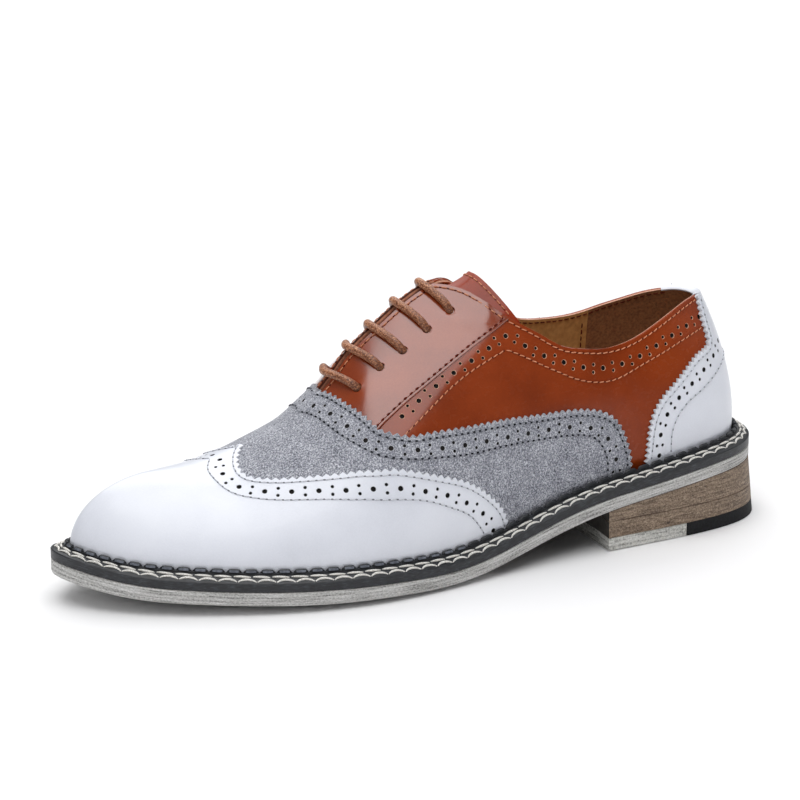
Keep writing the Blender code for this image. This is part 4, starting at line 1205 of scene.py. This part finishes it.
# Toe cap: white leather in the shape of a wing, sewn over the vamp, with pointed teeth, two rows of
# stitches and punched holes along its edge.
CAP_HIGH = 2.0
cap_inner_line = line_on(
    (240, 1.0), (245.3, 0.872), (245, 0.757), (241.4, 0.631), (235, 0.551), (221.4, 0.451), (203.5, 0.357),
    (180.8, 0.218), (167.9, 0.169), (158.8, 0.131), (149.1, 0.086), (141.4, 0.020),
)
white_leather = leather(
    "white_leather", (226, 229, 238), (233, 236, 245), (238, 241, 249), 0.36, 0.06, 0.25
)
white_edge = flecked("white_cut_edge", 1200, 0.7, (196, 198, 204), (224, 226, 231))
white_finishes = (white_leather, white_edge, white_edge)
cap_edge = pinked(cap_line, 3.15, 1.3, 1)
toe_run = plain(foot_line(cap_edge[0][-1], 2 - cap_edge[0][-1]))
cap_loop = loop_of(cap_edge, toe_run, mirrored(cap_edge))
cap_holes = both_sides(brogue_row(between(slide(cap_line, -2.6), cap_inner_line), 10.0, 1.5, 5.0))
cut_panel(
    "toe_cap_leather", cap_loop, PANEL_LOW, CAP_HIGH, white_finishes, ["toe_cap"], cap_holes
)
pale_thread = flecked("pale_thread", 2200, 0.6, (196, 198, 205), (226, 228, 233))
# Painted shade: grey marks for the needle holes in the white leather
pale_needle_shade = flecked("pale_needle_hole_shade", 900, 0.9, (112, 114, 121), (150, 152, 159))
sew_row(
    "cap", paired(slide(cap_line, -2.0), cap_inner_line), "white_leather", ["toe_cap"], 3.0,
    (pale_thread, 2.2, 0.5, CAP_HIGH), (pale_needle_shade, 0.8, 0.55, CAP_HIGH - 0.12), 0.25,
)


# Counter: white leather round the heel, pinked and punched as the cap is, with a narrow strip that goes
# up the back to the collar. The strip's head is turned over the collar and down inside it.
COUNTER_HIGH, COUNTER_DROP = 1.3, 0.001
FOLD_INNER_END = 22.5
# Height over the upper and over the collar, round the folded head
FOLD_STEPS = (
    (1.35, -1.2), (1.35, 0.1), (0.9, 0.32), (-1.6, 0.28), (-1.85, 0.1), (-1.85, -0.45), (-1.65, -0.45),
    (-1.6, 0.05), (1.0, 0.1), (1.0, -1.2),
)
counter_line = line_on(
    (17, 0.537), (22.6, 0.438), (23.5, 0.368), (32.6, 0.327), (40.3, 0.294), (51.5, 0.233), (58, 0.194),
    (62.1, 0.140), (63.4, 0.082), (64, 0.0),
)
counter_inner_line = line_on(
    (0.6, 0.314), (8, 0.304), (18.5, 0.272), (36.1, 0.204), (48, 0.150), (51.9, 0.097), (51.8, 0.02)
)
COUNTER_ROW = line_on(
    (8, 0.373), (16, 0.338), (28, 0.288), (42, 0.226), (52, 0.174), (57, 0.119), (57.8, 0.03)
)
counter_edge = pinked(counter_line, 2.3, 1.45, -1)
seat_run = plain(foot_line(counter_edge[0][-1], -counter_edge[0][-1]))
strip_s = np.linspace(-counter_edge[0][0], counter_edge[0][0], 60)
strip_top = plain((strip_s, top_rise(strip_s) - COUNTER_DROP))
counter_loop = loop_of(counter_edge, seat_run, mirrored(counter_edge), strip_top)
for row in (0, 2):
    counter_loop[row + 1] = np.minimum(counter_loop[row + 1], top_rise(counter_loop[row]) - COUNTER_DROP)
counter_holes = both_sides(brogue_row(COUNTER_ROW, 8.5, 1.4, 3.5))
cut_panel(
    "counter_leather", counter_loop, PANEL_LOW, COUNTER_HIGH, white_finishes, ["counter"],
    counter_holes,
)
fold_s = np.linspace(-station_at(FOLD_INNER_END), counter_edge[0][0] * 0.985, 47)
fold_rise = top_rise(fold_s)
fold_up = unit(on_upper(fold_s, fold_rise) - on_upper(fold_s, fold_rise - 0.01))
points = np.concatenate([shell(fold_s, fold_rise, proud) + fold_up * up for proud, up in FOLD_STEPS])
number = np.arange(len(points)).reshape(len(FOLD_STEPS), -1)
ahead = np.roll(number, -1, axis=0)
faces = np.stack([number[:, :-1], ahead[:, :-1], ahead[:, 1:], number[:, 1:]], -1).reshape(-1, 4).tolist()
faces += [number[:, 0].tolist(), number[::-1, -1].tolist()]
add_piece("collar_fold", points, faces, [white_leather], ["counter"], angle=50.0)
sew_row(
    "counter", paired(slide(counter_line, 2.0), counter_inner_line), "white_leather", ["counter"], 2.9,
    (pale_thread, 2.1, 0.5, COUNTER_HIGH), (pale_needle_shade, 0.8, 0.55, COUNTER_HIGH - 0.12), 0.25,
)


# Tongue: padded tan leather under the facings, sewn in at the throat, with a rounded top that stands out
# behind the lace and a row of stitches along it. Its ridge is rounder than that of the facings.
TONGUE_DEPTH, TONGUE_THICKNESS, TONGUE_ROUND, TONGUE_CURL = 2.65, 2.0, 8.0, 1.8
TONGUE_FRONT, TONGUE_TOP, TONGUE_DROOP = 200.0, 128.5, 12.6
TONGUE_HALF_WIDTH = (17.0, 27.0)
TONGUE_STITCHED, TONGUE_PITCH = 0.972, 2.6
TONGUE_ARCH = np.array((-0.5, 0.8, 1.0, 0.8, -0.5))


def rise_below_ridge(s, distance):
    """Rise at which a section has come down from the ridge by this much leather."""
    rises = np.linspace(1, 0, 60)
    down = [girth(0 * rises + at, rises) for at in s]
    return np.array([np.interp(length, run, rises) for length, run in zip(distance, down)])


def tongue_place(along, across):
    """Points of the tongue's upper face, and the way up from it at each."""
    reach = np.abs(across)
    x = TONGUE_FRONT + along * (TONGUE_TOP - TONGUE_FRONT - TONGUE_DROOP * reach**1.15)
    narrow, wide = TONGUE_HALF_WIDTH
    s = station_at(x) * np.where(across < 0, -1, 1)
    width = reach * (narrow + (wide - narrow) * along)
    h = rise_below_ridge(s.ravel(), width.ravel()).reshape(s.shape)
    normal, up = outward(s, h), outward(s, 0 * h + 1)
    depth = TONGUE_DEPTH / (normal * up).sum(-1)
    depth += UPPER_SIDE.tilt(x) * np.clip(TONGUE_ROUND - width, 0, None) ** 2 / (2 * TONGUE_ROUND)
    depth -= TONGUE_CURL * along**18 * (1 - reach**2) ** 3
    return on_upper(s, h) - up * depth[..., None], up


tongue_high, tongue_up = tongue_place(np.linspace(0, 1, 61)[:, None], np.linspace(-1, 1, 61)[None, :])
tongue_calf = leather(
    "tongue_calf", (128, 40, 9), (150, 50, 14), (166, 62, 22), 0.3, 0.1, 0.4, Specular_IOR_Level=0.2
)
points, faces = slab(tongue_high - tongue_up * TONGUE_THICKNESS, tongue_high)
soften(add_piece("tongue_leather", points, faces, [tongue_calf], ["tongue"]), 0.5)
line, line_up = tongue_place(TONGUE_STITCHED, np.linspace(-0.94, 0.94, 160))
run = lengths(line)
# The tongue's needle holes are dark marks of painted shade
for name, finish, phase, length, thick, lift in (
    ("tongue_thread", tan_thread, 0.0, 1.8, 0.5, 0.12),
    ("tongue_needle_shade", needle_shade_and_dark_thread, 0.5, 0.9, 0.6, -0.08),
):
    start = np.arange(1 + phase * TONGUE_PITCH, run[-1] - 3, TONGUE_PITCH)
    at = start[:, None] + STITCH_SHARE * length
    path, ups = (np.stack(at_lengths(at, run, values.T), -1) for values in (line, line_up))
    swell = STITCH_SWELL * thick / 2
    points, faces = tubes(path + ups * (lift * TONGUE_ARCH + lift)[:, None], ups, (swell, swell))
    add_piece(name, points, faces, [finish], ["tongue"])


# Lace: one round waxed cord, drawn flat across in five bars. Each bar comes up out of one eyelet and goes
# down into the other, and the runs behind the facings don't show.
LACE_DIAMETER, LACE_FLAT, LACE_PROUD, LACE_SIDES = 3.25, 0.94, 2.25, 20
LACE_DIP_FROM, LACE_DIP, LACE_TAIL, LACE_SMOOTHING = 0.86, 2.8, 1.2, 40
# How far each bar's middle lies towards the toe, and how far it stands off
LACE_BOWS = ((4.5, 1.5), (6.0, 0.0), (6.0, 0.0), (6.0, 0.0), (6.0, 0.0))
lace_cord = Finish("waxed_lace", Roughness=0.42)
braid = lace_cord.noise(lace_cord.place(), 1800, 3.0, 0.6)
# Painted shade: the cord is painted darker towards the eyelets, where it goes down into them
eyelet_shade = lace_cord.node("ShaderNodeSeparateXYZ", None, {"Vector": lace_cord.place(source="UV")})
lace_cord.colour(braid - eyelet_shade * 0.1, (0.34, (84, 43, 25)), (0.46, (146, 88, 56)), (0.6, (206, 152, 116)))
lace_cord.bump(braid, 0.5, 0.0004)
across = np.linspace(-1, 1, 120)
reach = np.abs(across)
dip = LACE_DIP * np.clip((reach - LACE_DIP_FROM) / (1 - LACE_DIP_FROM), 0, 1) ** 2
for number, ((x, rise), (forward, arch)) in enumerate(zip(EYELETS, LACE_BOWS), 1):
    h = 1 - (1 - rise) * reach
    s = station_at(x + forward * (1 - reach)) * np.where(across < 0, 1, -1)
    path = shell(s, h, LACE_PROUD + arch * (1 - reach) - dip)
    for _ in range(LACE_SMOOTHING):
        path[1:-1] = (path[:-2] + 2 * path[1:-1] + path[2:]) / 4
    ways = outward(s, h)
    path = np.concatenate([path[:1] - ways[:1] * LACE_TAIL, path, path[-1:] - ways[-1:] * LACE_TAIL])
    ups = np.concatenate([ways[:1], ways, ways[-1:]])
    radii = LACE_DIAMETER / 2, LACE_DIAMETER / 2 * LACE_FLAT
    points, faces = tubes(path[None], ups[None], radii, LACE_SIDES)
    # Reach along the bar, 1 at its ends, carries the painted shade towards the eyelets through the UV
    bend = np.concatenate([[1], reach, [1]])
    uvs = [(bend[corner // LACE_SIDES], 0) for face in faces for corner in face]
    add_piece(f"lace_run_{number}", points, faces, [lace_cord], [f"lace_bar_{number}"], uvs)
